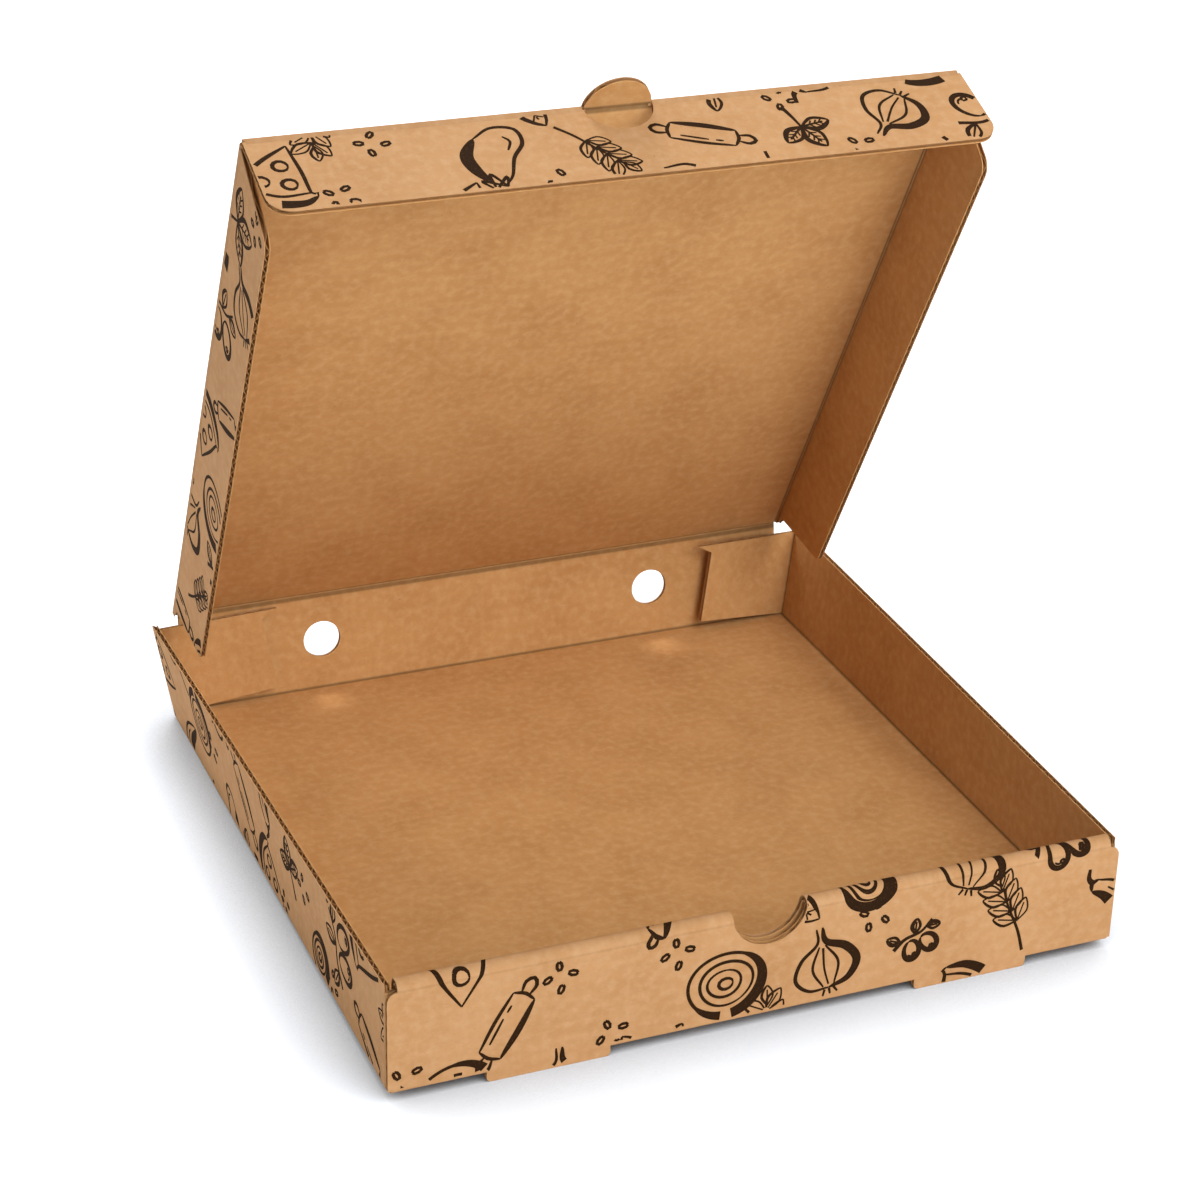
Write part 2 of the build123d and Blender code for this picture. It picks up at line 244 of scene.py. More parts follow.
@dataclass(frozen=True)
class KraftLiner:
    """Unbleached kraft paper, calendered on the paper machine: matt, with fibres that show."""

    name: str
    base: str
    light: str
    dark: str
    # Paper is painted darker beside a fold: partly the crushed liner, partly painted shade of the
    # crease
    fold_crush_and_shade_tone: float = 0.5
    fold_core_mm: float = 1.35
    fold_reach_mm: float = 2.7
    roughness: float = 0.86
    # How much shinier and duller the mottle makes the paper
    roughness_span: Point = (-0.06, 0.08)
    specular: float = 0.14
    # Formation clouds: the paper is a touch darker where more fibre settled
    clouds: Pattern = Pattern(34.0, 2.0, 0.25, 0.62, 0.45, 1.0)
    mottle: Pattern = Pattern(4.5, 3.0, 0.42, 0.72, 0.0, 0.5)
    # Fibre bundles are about 3 mm by 0.2 mm, drawn twice as wide so that they show
    fibre_length_mm: float = 2.6
    fibre_width_mm: float = 0.42
    fibre_relief_mm: float = 0.04
    # Sparse specks of bark, each fading out between two shares of their spacing
    bark: str = "#5A3A1E"
    speck_mm: float = 12.0
    speck_reach: Point = (0.016, 0.032)
    speck_strength: float = 0.5
    # The liner sinks a little between the flute tips, and is painted a little darker there as shade
    # in the hollows
    washboard_mm: float = 0.03
    washboard_shade_tone: float = 0.98
    tooth: Pattern = Pattern(0.5, 1.0, 0.0, 1.0, 0.0, 0.035)
    bump_strength: float = 0.55

    def fold_shade(self, tree: bpy.types.NodeTree) -> bpy.types.NodeSocket:
        """Painted shade and crushed-paper tone beside the nearest fold line.

        Args:
            tree: the material's node tree.

        Returns:
            A factor, 1 away from the folds.
        """
        nearest = None
        for layer in ("FoldAcross", "FoldAlong"):
            distances = add_node(tree, "ShaderNodeUVMap", {"uv_map": layer})
            parts = add_node(tree, "ShaderNodeSeparateXYZ", None, None, {0: distances.outputs[0]})
            for axis in ("X", "Y"):
                size = add_node(
                    tree, "ShaderNodeMath", {"operation": "ABSOLUTE"}, None,
                    {0: parts.outputs[axis]},
                )
                if nearest is None:
                    nearest = size.outputs[0]
                    continue
                less = add_node(
                    tree, "ShaderNodeMath", {"operation": "MINIMUM"}, None,
                    {0: nearest, 1: size.outputs[0]},
                )
                nearest = less.outputs[0]
        shade = add_node(
            tree, "ShaderNodeMapRange", {"interpolation_type": "SMOOTHSTEP"},
            {
                "From Min": self.fold_core_mm * MM, "From Max": self.fold_reach_mm * MM,
                "To Min": self.fold_crush_and_shade_tone, "To Max": 1.0,
            },
            {"Value": nearest},
        )
        return shade.outputs[0]

    def build(self) -> bpy.types.Material:
        """Builds the liner's material on the board's own coordinates."""
        material, tree = empty_material(self.name)
        board = add_node(tree, "ShaderNodeUVMap", {"uv_map": "Board"})
        in_mm = add_in_mm(tree, board.outputs[0])
        mottle = self.mottle.add(tree, in_mm)
        base = add_node(
            tree, "ShaderNodeMixRGB", None,
            {"Color1": linear(self.dark), "Color2": linear(self.base)},
            {"Fac": self.clouds.add(tree, in_mm)},
        )
        mottled = add_node(
            tree, "ShaderNodeMixRGB", None, {"Color2": linear(self.light)},
            {"Fac": mottle, "Color1": base.outputs[0]},
        )
        colour = mottled.outputs[0]
        # Fibres lie mostly along the flutes, a few turned aside; some pale, some dark
        fibres = []
        for turn, shift, tint, strength in (
            (0.0, 0.0, self.light, 0.5),
            (0.3, 17.0, self.dark, 0.62),
            (-0.36, 41.0, self.dark, 0.5),
        ):
            mapped = add_node(
                tree, "ShaderNodeMapping", None,
                {
                    "Location": (shift, shift, shift),
                    "Rotation": (0.0, 0.0, turn),
                    "Scale": (1 / self.fibre_length_mm, 1 / self.fibre_width_mm, 1.0),
                },
                {"Vector": in_mm},
            )
            shown = Pattern(1.0, 1.0, 0.65, 0.8, 0.0, strength).add(tree, mapped.outputs[0])
            tinted = add_node(
                tree, "ShaderNodeMixRGB", None, {"Color2": linear(tint)},
                {"Fac": shown, "Color1": colour},
            )
            colour = tinted.outputs[0]
            fibres.append(shown)
        specks = add_node(
            tree, "ShaderNodeTexVoronoi", None, {"Scale": 1 / self.speck_mm}, {"Vector": in_mm}
        )
        speck = add_node(
            tree, "ShaderNodeMapRange", None,
            {
                "From Min": self.speck_reach[0], "From Max": self.speck_reach[1],
                "To Min": self.speck_strength, "To Max": 0.0,
            },
            {"Value": specks.outputs["Distance"]},
        )
        specked = add_node(
            tree, "ShaderNodeMixRGB", None, {"Color2": linear(self.bark)},
            {"Fac": speck.outputs[0], "Color1": colour},
        )
        parts = add_node(tree, "ShaderNodeSeparateXYZ", None, None, {0: in_mm})
        phase = add_node(
            tree, "ShaderNodeMath", {"operation": "MULTIPLY"},
            {1: 2 * math.pi / (BOARD.flute_pitch / MM)}, {0: parts.outputs["Y"]},
        )
        wave = add_node(tree, "ShaderNodeMath", {"operation": "SINE"}, None, {0: phase.outputs[0]})
        # Painted shade in the hollows between the flute tips
        washboard = add_node(
            tree, "ShaderNodeMapRange", None,
            {"From Min": -1.0, "From Max": 1.0, "To Min": self.washboard_shade_tone, "To Max": 1.0},
            {"Value": wave.outputs[0]},
        )
        # Painted shade of the washboard hollows and of the folds, multiplied into the colour
        tone = add_node(
            tree, "ShaderNodeMath", {"operation": "MULTIPLY"}, None,
            {0: washboard.outputs[0], 1: self.fold_shade(tree)},
        )
        shaded = add_node(
            tree, "ShaderNodeMixRGB", {"blend_type": "MULTIPLY"}, {"Fac": 1.0},
            {"Color1": specked.outputs[0], "Color2": tone.outputs[0]},
        )
        # Heights in millimetres, added up for one bump
        ridges = add_node(
            tree, "ShaderNodeMath", {"operation": "MULTIPLY_ADD"}, {1: self.washboard_mm},
            {0: wave.outputs[0], 2: self.tooth.add(tree, in_mm)},
        )
        raised = add_node(
            tree, "ShaderNodeMath", {"operation": "MULTIPLY_ADD"}, {1: self.fibre_relief_mm},
            {0: fibres[0], 2: ridges.outputs[0]},
        )
        bump = add_node(
            tree, "ShaderNodeBump", None, {"Strength": self.bump_strength, "Distance": MM},
            {"Height": raised.outputs[0]},
        )
        shiny, matt = (self.roughness + span for span in self.roughness_span)
        dull = add_node(
            tree, "ShaderNodeMapRange", None,
            {"From Max": self.mottle.most, "To Min": shiny, "To Max": matt}, {"Value": mottle},
        )
        shader = add_node(
            tree, "ShaderNodeBsdfPrincipled", None, {"Specular IOR Level": self.specular},
            {
                "Base Color": shaded.outputs[0],
                "Roughness": dull.outputs[0],
                "Normal": bump.outputs[0],
            },
        )
        add_node(tree, "ShaderNodeOutputMaterial", None, None, {"Surface": shader.outputs[0]})
        return material


@dataclass(frozen=True)
class PatchyFinish:
    """A matt surface of two colours that run into each other in fine patches."""

    name: str
    # Colours where the pattern is at its least and at its most
    first: str
    second: str
    patches: Pattern
    roughness: float
    specular: float
    bump_strength: float
    relief: float = 0.1 * MM

    def build(self) -> bpy.types.Material:
        """Builds the finish on the piece's own coordinates."""
        material, tree = empty_material(self.name)
        place = add_node(tree, "ShaderNodeTexCoord")
        noise = self.patches.noise(tree, add_in_mm(tree, place.outputs["Object"]))
        colour = add_node(
            tree, "ShaderNodeMixRGB", None,
            {"Color1": linear(self.first), "Color2": linear(self.second)},
            {"Fac": self.patches.spread(tree, noise)},
        )
        bump = add_node(
            tree, "ShaderNodeBump", None,
            {"Strength": self.bump_strength, "Distance": self.relief}, {"Height": noise},
        )
        shader = add_node(
            tree, "ShaderNodeBsdfPrincipled", None,
            {"Roughness": self.roughness, "Specular IOR Level": self.specular},
            {"Base Color": colour.outputs[0], "Normal": bump.outputs[0]},
        )
        add_node(tree, "ShaderNodeOutputMaterial", None, None, {"Surface": shader.outputs[0]})
        return material


# The greyer outside sheet, which folds stretch smooth, so only a faint line of painted shade
# darkens it there
TOP_LINER = KraftLiner(
    "unbleached_kraft_top_liner", "#BA8D60", "#C7A17A", "#A77849",
    fold_crush_and_shade_tone=0.9, fold_core_mm=0.15, fold_reach_mm=0.7,
)
# The warmer inside sheet, painted dark where a fold presses it together: partly the crushed liner,
# partly painted shade of the crease
INNER_LINER = KraftLiner("unbleached_kraft_inner_liner", "#C4935D", "#D3AA78", "#AD7A46")
# Recycled fluting paper, corrugated hot and glued: darker and rougher, with torn fibres
FLUTING_PAPER = PatchyFinish(
    "recycled_fluting_paper", "#7E5632", "#B98A59", Pattern(0.5, 3.0, 0.0, 1.0, 0.0, 1.0, 0.6),
    roughness=0.95, specular=0.05, bump_strength=0.6,
)
# Water-based black ink, stamped by a rubber plate: matt, and thin over the fibres
FLEXO_INK = PatchyFinish(
    "water_based_black_ink", "#2A1A0C", "#4F351C", Pattern(0.9, 4.0, 0.56, 0.74, 0.0, 0.85, 0.65),
    roughness=0.85, specular=0.05, bump_strength=0.3,
)


@dataclass
class Outline:
    """Shape of a panel as closed loops of (across the flutes, along the flutes) in metres."""

    loops: list[list[Point]]

    def edges(self) -> Iterable[tuple[Point, Point]]:
        """All straight edges of the loops."""
        for loop in self.loops:
            yield from zip(loop, loop[1:] + loop[:1])

    def knots(self, cuts: Iterable[float]) -> set[float]:
        """Places across the flutes where the shape bends, steps or meets a cut line."""
        places = {across for loop in self.loops for across, _ in loop}
        for (a0, b0), (a1, b1) in self.edges():
            for cut in cuts:
                if min(b0, b1) < cut < max(b0, b1):
                    places.add(a0 + (a1 - a0) * (cut - b0) / (b1 - b0))
        return places

    def spans(self, low: float, high: float) -> list[tuple[Point, Point]]:
        """Stretches of board between two neighbouring knots.

        Args:
            low: the nearer knot.
            high: the further knot.

        Returns:
            For each stretch its two sides, each as its place at low and at high.
        """
        middle = (low + high) / 2
        hits = []
        for (a0, b0), (a1, b1) in self.edges():
            if min(a0, a1) < middle < max(a0, a1):
                slope = (b1 - b0) / (a1 - a0)
                hits.append(tuple(b0 + slope * (a - a0) for a in (middle, low, high)))
        hits.sort()
        return [(near[1:], far[1:]) for near, far in zip(hits[::2], hits[1::2])]

    def holds(self, across: float, along: float) -> bool:
        """Whether a point lies on the panel."""
        inside = False
        for (a0, b0), (a1, b1) in self.edges():
            if (a0 > across) != (a1 > across):
                if along < b0 + (b1 - b0) * (across - a0) / (a1 - a0):
                    inside = not inside
        return inside


@dataclass
class Panel:
    """One flat or bent stretch of board: its outline, where it lies and where it is folded.

    The folds are lines across and along the flutes; a side that is cut has no line. The inner
    level is where the inside lies. The bends and cuts are more lines that the mesh is divided
    at, the shift moves the paper's pattern, so that each panel shows another part of it, and
    curved is the stretch across the flutes that is round.
    """

    outline: Outline
    place: Place
    folds_across: tuple[float | None, float | None] = (None, None)
    folds_along: tuple[float | None, float | None] = (None, None)
    inner: Level = field(default=lambda across, along: -BOARD.half)
    bends: tuple[float, ...] = ()
    cuts: tuple[float, ...] = ()
    shift: float = 0.0
    curved: Point | None = None

    def to_folds(self, across: float, along: float) -> tuple[Point, Point]:
        """Distances of a point to the panel's four fold lines, or far where one is missing."""
        first = tuple(FAR if f is None else across - f for f in self.folds_across)
        second = tuple(FAR if f is None else along - f for f in self.folds_along)
        return first, second


def circle(centre: Point, radius: float, start: float, end: float, steps: int) -> list[Point]:
    """Points on an arc, in (across, along) coordinates.

    Args:
        centre: the arc's centre.
        radius: its radius.
        start: first angle in degrees, from the across direction towards the along one.
        end: last angle in degrees.
        steps: number of chords.

    Returns:
        The points, both ends included.
    """
    angles = [math.radians(start + (end - start) * i / steps) for i in range(steps + 1)]
    return [(centre[0] + radius * math.cos(a), centre[1] + radius * math.sin(a)) for a in angles]


class BoardMesh:
    """Collects the liners, flutes and folds of one piece of board in one mesh."""

    # Distance to a fold line that a rod's painted fold shade is read at, half way out of the fold's
    # darkest core
    rod_reach = 2.0 * MM
    rod_sides = 20

    def __init__(self, name: str) -> None:
        """Starts an empty mesh.

        Args:
            name: the object's name.
        """
        self.name = name
        self.mesh = bmesh.new()
        layers = self.mesh.loops.layers.uv
        self.layers = [layers.new(name) for name in ("Board", "FoldAcross", "FoldAlong")]

    def face(self, corners: list, slot: Face, places: list[tuple[Point, ...]]) -> None:
        """Adds a face, leaving out doubled corners.

        Args:
            corners: the vertices in order.
            slot: what the face is made of.
            places: for each vertex its board coordinates and its distances to the folds.
        """
        kept, spots = [], []
        for corner, spot in zip(corners, places):
            if corner not in kept:
                kept.append(corner)
                spots.append(spot)
        if len(kept) < 3:
            return
        made = self.mesh.faces.new(kept)
        made.material_index = slot.value
        made.smooth = True
        for loop, spot in zip(made.loops, spots):
            for layer, value in zip(self.layers, spot):
                loop[layer].uv = value

    def slab(
        self, panel: Panel, bottom: Level, top: Level, slot: Face, steps: Iterable[float]
    ) -> None:
        """Adds one closed sheet of paper with the panel's outline.

        Args:
            panel: the panel that the sheet belongs to.
            bottom: level of the sheet's lower face at a point of the panel.
            top: level of its upper face.
            slot: what the sheet is made of.
            steps: more places across the flutes where the sheet bends.
        """
        outline, place = panel.outline, panel.place
        shape = sorted(outline.knots(panel.cuts))
        first, last = shape[0], shape[-1]
        raw = sorted({*shape, *(s for s in (*panel.bends, *steps) if first < s < last)})
        knots = [raw[0]]
        for knot in raw[1:]:
            if knot - knots[-1] > SAME_PLACE:
                knots.append(knot)
        cells = []
        for low, high in zip(knots, knots[1:]):
            rows = []
            for near, far in outline.spans(low, high):
                inside = [(c, c) for c in panel.cuts if max(near) - HAIR < c < min(far) + HAIR]
                rows.append([near, *inside, far])
            cells.append(rows)
        marks = []
        for i in range(len(knots)):
            found = set()
            if i > 0:
                found.update(round(side[1], DIGITS) for row in cells[i - 1] for side in row)
            if i < len(cells):
                found.update(round(side[0], DIGITS) for row in cells[i] for side in row)
            marks.append(sorted(found))
        made: dict[tuple[int, float, int], bmesh.types.BMVert] = {}

        def vert(i: int, along: float, upper: int) -> bmesh.types.BMVert:
            """The vertex at a knot, a place along the flutes and one of the two levels."""
            key = (i, along, upper)
            if key not in made:
                level = (top if upper else bottom)(knots[i], along)
                made[key] = self.mesh.verts.new(place(knots[i], along, level))
            return made[key]

        def spot(i: int, along: float) -> tuple[Point, ...]:
            """Board coordinates of a vertex and its distances to the folds."""
            return ((along + panel.shift, knots[i]), *panel.to_folds(knots[i], along))

        def marks_between(i: int, near: Point, far: Point, end: int) -> list[float]:
            """Marks of a knot from one side of a cell to the other."""
            low, high = round(near[end], DIGITS), round(far[end], DIGITS)
            return [mark for mark in marks[i + end] if low <= mark <= high]

        for i, rows in enumerate(cells):
            for row in rows:
                for near, far in zip(row, row[1:]):
                    ring = [(i, m) for m in marks_between(i, near, far, 0)]
                    ring += [(i + 1, m) for m in reversed(marks_between(i, near, far, 1))]
                    spots = [spot(*r) for r in ring]
                    for upper in (0, 1):
                        self.face([vert(*r, upper) for r in ring], slot, spots)
                for near in (row[0], row[-1]):
                    ends = [(i, round(near[0], DIGITS)), (i + 1, round(near[1], DIGITS))]
                    ring = [(*ends[0], 0), (*ends[1], 0), (*ends[1], 1), (*ends[0], 1)]
                    self.face([vert(*r) for r in ring], slot, [spot(r[0], r[1]) for r in ring])
        for i, line in enumerate(marks):
            before = [(row[0][1], row[-1][1]) for row in cells[i - 1]] if i > 0 else []
            after = [(row[0][0], row[-1][0]) for row in cells[i]] if i < len(cells) else []
            for low, high in zip(line, line[1:]):
                middle = (low + high) / 2
                covered = [any(a < middle < b for a, b in side) for side in (before, after)]
                if covered[0] != covered[1]:
                    ring = [(i, low, 0), (i, high, 0), (i, high, 1), (i, low, 1)]
                    self.face([vert(*r) for r in ring], slot, [spot(r[0], r[1]) for r in ring])

    def board(self, panel: Panel) -> None:
        """Adds a panel as two liners with the fluted sheet between them.

        Args:
            panel: the panel to build.
        """
        half_sheet = BOARD.fluting / 2

        def crest(across: float, along: float) -> float:
            """Level of the fluted sheet's middle."""
            low = panel.inner(across, along) + BOARD.liner
            high = BOARD.skin - BOARD.liner
            reach = max(0.0, (high - low) / 2 - half_sheet)
            return (low + high) / 2 + reach * math.sin(2 * math.pi * across / BOARD.flute_pitch)

        self.slab(
            panel, lambda a, b: BOARD.skin - BOARD.liner, lambda a, b: BOARD.skin, Face.OUTSIDE, ()
        )
        self.slab(
            panel, panel.inner, lambda a, b: panel.inner(a, b) + BOARD.liner, Face.INSIDE, ()
        )
        places = [a for loop in panel.outline.loops for a, _ in loop]
        step = BOARD.flute_pitch / BOARD.steps_per_flute
        first = math.ceil(min(places) / step)
        steps = [i * step for i in range(first, math.floor(max(places) / step) + 1)]
        self.slab(
            panel, lambda a, b: crest(a, b) - half_sheet, lambda a, b: crest(a, b) + half_sheet,
            Face.FLUTING, steps,
        )

    def fold(self, start: Vector, end: Vector, slot: Face = Face.OUTSIDE) -> None:
        """Adds the round back of a fold as a rod.

        Args:
            start: one end of the line that the fold turns about.
            end: the other end.
            slot: what the rod is made of.
        """
        run, sides = end - start, self.rod_sides
        turn = run.to_track_quat("Z", "X").to_matrix()
        rings = []
        for point in (start, end):
            ring = []
            for i in range(sides):
                angle = 2 * math.pi * i / sides
                spoke = Vector((math.cos(angle), math.sin(angle), 0)) * BOARD.skin
                ring.append(self.mesh.verts.new(point + turn @ spoke))
            rings.append(ring)
        girth = 2 * math.pi * BOARD.skin
        for i in range(sides):
            j = (i + 1) % sides
            across = [girth * i / sides, girth * (i + 1) / sides]
            spots = [(0, across[0]), (0, across[1])]
            spots += [(run.length, across[1]), (run.length, across[0])]
            corners = [rings[0][i], rings[0][j], rings[1][j], rings[1][i]]
            self.face(corners, slot, [(s, (self.rod_reach, FAR), (FAR, FAR)) for s in spots])
        for ring in rings:
            self.face(ring, Face.FLUTING, [((0.0, 0.0),)] * sides)

    def finish(self, materials: list[bpy.types.Material], body: str, node: str) -> None:
        """Turns the collected faces into the object that stands for a CAD node.

        Args:
            materials: one for each Face, in order.
            body: the body that it rides on.
            node: the CAD node that it stands for.
        """
        piece = mesh_object(self.name, self.mesh, materials)
        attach(piece, body)
        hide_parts(node)
        report(piece)


def mesh_object(
    name: str, mesh: bmesh.types.BMesh, materials: list[bpy.types.Material]
) -> bpy.types.Object:
    """Makes an object of a bmesh, with outward normals and crisp corners.

    Args:
        name: the object's name.
        mesh: the faces; it is freed.
        materials: the material slots.

    Returns:
        The new object, linked to the scene.
    """
    bmesh.ops.recalc_face_normals(mesh, faces=mesh.faces)
    for edge in mesh.edges:
        edge.smooth = len(edge.link_faces) == 2 and edge.calc_face_angle(0.0) < SHARP_ANGLE
    data = bpy.data.meshes.new(name)
    mesh.to_mesh(data)
    mesh.free()
    for material in materials:
        data.materials.append(material)
    piece = bpy.data.objects.new(name, data)
    bpy.context.scene.collection.objects.link(piece)
    return piece


def report(piece: bpy.types.Object) -> None:
    """Logs a finished piece with its number of triangles."""
    triangles = sum(len(p.vertices) - 2 for p in piece.data.polygons)
    log.info("%s: %d triangles", piece.name, triangles)


def joint_of(name: str) -> tuple[Vector, Vector]:
    """Place and direction of a joint in the frame.

    Args:
        name: the joint's name.

    Returns:
        A point on its axis and the axis.
    """
    found = next(j for j in frame["joints"] if j["name"] == name)
    return Vector(found["pos_m"]), Vector(found["axis"]).normalized()


@dataclass
class Drawing:
    """Strokes of one small kitchen motif, in millimetres about its own middle."""

    # Points in a turn of an oval for each millimetre of its half axes, and its unevenness
    ring_points = 2.4
    ring_wobble = 0.02

    strokes: list[tuple[list[Point], float, Nib]] = field(default_factory=list)

    def reach(self) -> float:
        """Greatest distance of its lines from its middle, in millimetres."""
        return max(math.hypot(x, y) for points, _, _ in self.strokes for x, y in points)

    def line(self, points: list[Point], width: float, nib: Nib = Nib.SWELL) -> None:
        """Adds a smooth line through points.

        Args:
            points: where the line goes.
            width: its greatest width in millimetres.
            nib: how the width runs along it.
        """
        self.strokes.append((smooth(points), width, nib))

    def ring(
        self, centre: Point, radii: Point, width: float, nib: Nib = Nib.SWELL,
        start: float = 0.0, end: float = 360.0, tilt: float = 0.0,
    ) -> None:
        """Adds an oval or a part of one.

        Args:
            centre: its middle.
            radii: its two half axes.
            width: the line's greatest width.
            nib: how the width runs along it.
            start: first angle in degrees.
            end: last angle in degrees.
            tilt: turn of the whole oval in degrees.
        """
        count = max(6, round(abs(end - start) / 360 * (radii[0] + radii[1]) * self.ring_points))
        turn = math.radians(tilt)
        points = []
        for i in range(count + 1):
            angle = math.radians(start + (end - start) * i / count)
            wobble = 1 + self.ring_wobble * math.sin(3 * angle + centre[0])
            x, y = radii[0] * math.cos(angle) * wobble, radii[1] * math.sin(angle) * wobble
            points.append((
                centre[0] + x * math.cos(turn) - y * math.sin(turn),
                centre[1] + x * math.sin(turn) + y * math.cos(turn),
            ))
        self.strokes.append((points, width, nib))

    def leaf(self, root: Point, tip: Point, belly: float, width: float = 1.0) -> None:
        """Adds a pointed leaf with its middle vein.

        Args:
            root: where it starts.
            tip: where it ends.
            belly: its half width.
            width: the line's greatest width.
        """
        along = Vector(tip) - Vector(root)
        aside = Vector((-along.y, along.x)).normalized() * belly
        for side in (-1, 1):
            middle = Vector(root) + along * 0.45 + aside * side
            shoulder = Vector(root) + along * 0.8 + aside * side * 0.62
            self.line([root, tuple(middle), tuple(shoulder), tip], width * (1.5 if side > 0 else 1))
        self.line([root, tuple(Vector(root) + along * 0.78)], width * 0.8, Nib.TAPER)


def smooth(points: list[Point], step: float = 1.3) -> list[Point]:
    """Runs a rounded line through points, as a Catmull-Rom spline.

    Args:
        points: where the line goes.
        step: spacing of the line's own points in millimetres.

    Returns:
        The line's points.
    """
    knots = [Vector(p) for p in points]
    knots = [knots[0] * 2 - knots[1], *knots, knots[-1] * 2 - knots[-2]]
    line = []
    for p0, p1, p2, p3 in zip(knots, knots[1:], knots[2:], knots[3:]):
        count = max(1, round((p2 - p1).length / step))
        for i in range(count):
            t = i / count
            line.append(tuple(0.5 * (
                2 * p1 + (p2 - p0) * t + (2 * p0 - 5 * p1 + 4 * p2 - p3) * t * t
                + (3 * p1 - p0 - 3 * p2 + p3) * t * t * t
            )))
    line.append(tuple(knots[-2]))
    return line


def pizza_slice() -> Drawing:
    """A wedge of pizza with a puffed crust and three round toppings."""
    art = Drawing()
    art.line([(-14, 9), (-7, 13.5), (2, 14.5), (11, 12), (15, 7.5)], 3.2)
    art.line([(-12.5, 6), (-5, 9.6), (3, 10.4), (12.5, 6.2)], 1.1)
    art.line([(-14, 9), (-14.6, 6.8), (-12.5, 6), (-6, -6), (1.5, -16)], 1.5)
    art.line([(15, 7.5), (14.6, 5.6), (12.5, 6.2), (8, -4), (1.5, -16)], 1.2)
    for spot in ((-4.5, 4.5), (5, 3.6), (0.8, -5)):
        art.ring(spot, (2.7, 2.5), 1.3)
    return art


def wheat_ear() -> Drawing:
    """An ear of wheat: a stem with pairs of grains and a few awns."""
    art = Drawing()
    art.line([(-3, -17), (-1, -8), (0, 4), (1.5, 12)], 1.1, Nib.TAPER)
    for i in range(4):
        y = -4 + i * 5.0
        for side in (-1, 1):
            art.leaf((0.4, y), (side * 7.2, y + 6.8), 2.4, 0.62)
    art.leaf((1.2, 13), (2.6, 21), 2.1, 0.62)
    return art


def olive_sprig() -> Drawing:
    """Two olives on a twig with narrow leaves."""
    art = Drawing()
    art.line([(-15, 3), (-6, 6), (5, 5), (14, 9)], 1.4, Nib.TAPER)
    for middle, tilt in (((-5, -3.5), 70), ((6.5, -4.5), 105)):
        art.ring(middle, (6.6, 4.9), 1.9, Nib.SWELL, 20, 380, tilt)
        art.ring((middle[0] + 0.6, middle[1] - 3.6), (1.2, 1.0), 0.9, Nib.EVEN)
        art.ring(middle, (4.2, 2.9), 0.8, Nib.SWELL, 130, 215, tilt)
    art.leaf((-9, 5.5), (-16, 13), 2.5)
    art.leaf((1, 5.6), (6, 15), 2.6)
    art.leaf((9, 6.4), (17.5, 2.5), 2.3)
    return art


def onion_rings() -> Drawing:
    """A round cut through an onion, heavy on one side."""
    art = Drawing()
    art.ring((0, 0), (14.5, 13), 3.6, Nib.SWELL, -150, 60)
    art.ring((0, 0), (14.5, 13), 1.1, Nib.EVEN, 55, 215)
    art.ring((0.4, 0.2), (10.4, 9.2), 1.1, Nib.SWELL, -60, 300)
    art.ring((-0.4, 0.3), (6.6, 5.6), 1.0, Nib.SWELL, 80, 440)
    art.ring((0.2, 0), (2.8, 2.3), 1.2, Nib.SWELL)
    return art


def chilli() -> Drawing:
    """A long curved chilli with a cap and a stalk."""
    art = Drawing()
    art.line([(-12, 9), (-3, 9.5), (7, 3), (13, -8), (14, -13)], 1.2)
    art.line([(-13, 3), (-6, 2), (2, -2.5), (9, -9), (14, -13)], 3.8)
    art.line([(-12, 9.2), (-14.5, 6.5), (-13, 3)], 1.6)
    art.line([(-13.4, 6.4), (-17, 8.5), (-18.5, 13)], 2.2, Nib.TAPER)
    art.line([(-6, 6.4), (1, 4.2), (6, -0.5)], 0.8)
    return art


def rolling_pin() -> Drawing:
    """A rolling pin lying aslant."""
    art = Drawing()
    turn = math.radians(38)
    cosine, sine = math.cos(turn), math.sin(turn)

    def place(x: float, y: float) -> Point:
        """A point of the level pin, turned aslant."""
        return x * cosine - y * sine, x * sine + y * cosine

    for side in (-1, 1):
        long_side = [place(-11.5, 4.1 * side), place(0, 4.6 * side), place(11.5, 4.1 * side)]
        art.line(long_side, 1.2 + 0.9 * (side < 0))
        art.line([place(11.5 * side, -4.1), place(12.6 * side, 0), place(11.5 * side, 4.1)], 1.2)
        art.line([
            place(12.6 * side, -1.5), place(16.5 * side, -2.1), place(18.6 * side, 0),
            place(16.5 * side, 2.1), place(12.6 * side, 1.5),
        ], 1.3)
    art.line([place(-8, 2.1), place(2, 2.5)], 0.8)
    art.line([place(4.4, 2.4), place(7.2, 2.3)], 0.8)
    return art


def garlic() -> Drawing:
    """A bulb of garlic with its cloves and roots."""
    art = Drawing()
    for side in (-1, 1):
        art.line([
            (1.2 * side, 15), (1.8 * side, 8.5), (9 * side, 3.5), (12.5 * side, -4),
            (8 * side, -10.5), (0, -12),
        ], 1.3 + 1.5 * (side > 0))
        art.line([(1.2 * side, 7), (5.2 * side, -2), (2.2 * side, -11)], 0.9)
    art.line([(0.2, 6), (-0.6, -3), (0, -10.5)], 0.8, Nib.TAPER)
    for x in (-3, 0, 3):
        art.line([(x * 0.6, -12.4), (x, -15)], 0.9, Nib.TAPER)
    return art


def herb_leaves() -> Drawing:
    """A sprig of three broad herb leaves."""
    art = Drawing()
    art.line([(-12, -11), (-5, -5), (0, 0)], 1.5, Nib.TAPER)
    for tip, belly in (((15, 9), 4.6), ((-4, 15), 4.2), ((12, -11), 4.0)):
        art.leaf((0, 0), tip, belly, 1.2)
        along = Vector(tip)
        aside = Vector((-along.y, along.x)).normalized() * belly
        for share in (0.3, 0.48, 0.64):
            root = along * share
            for side in (-1, 1):
                end = along * (share + 0.13) + aside * side * (0.72 - share * 0.35)
                art.line([tuple(root), tuple(end)], 0.6, Nib.TAPER)
    return art


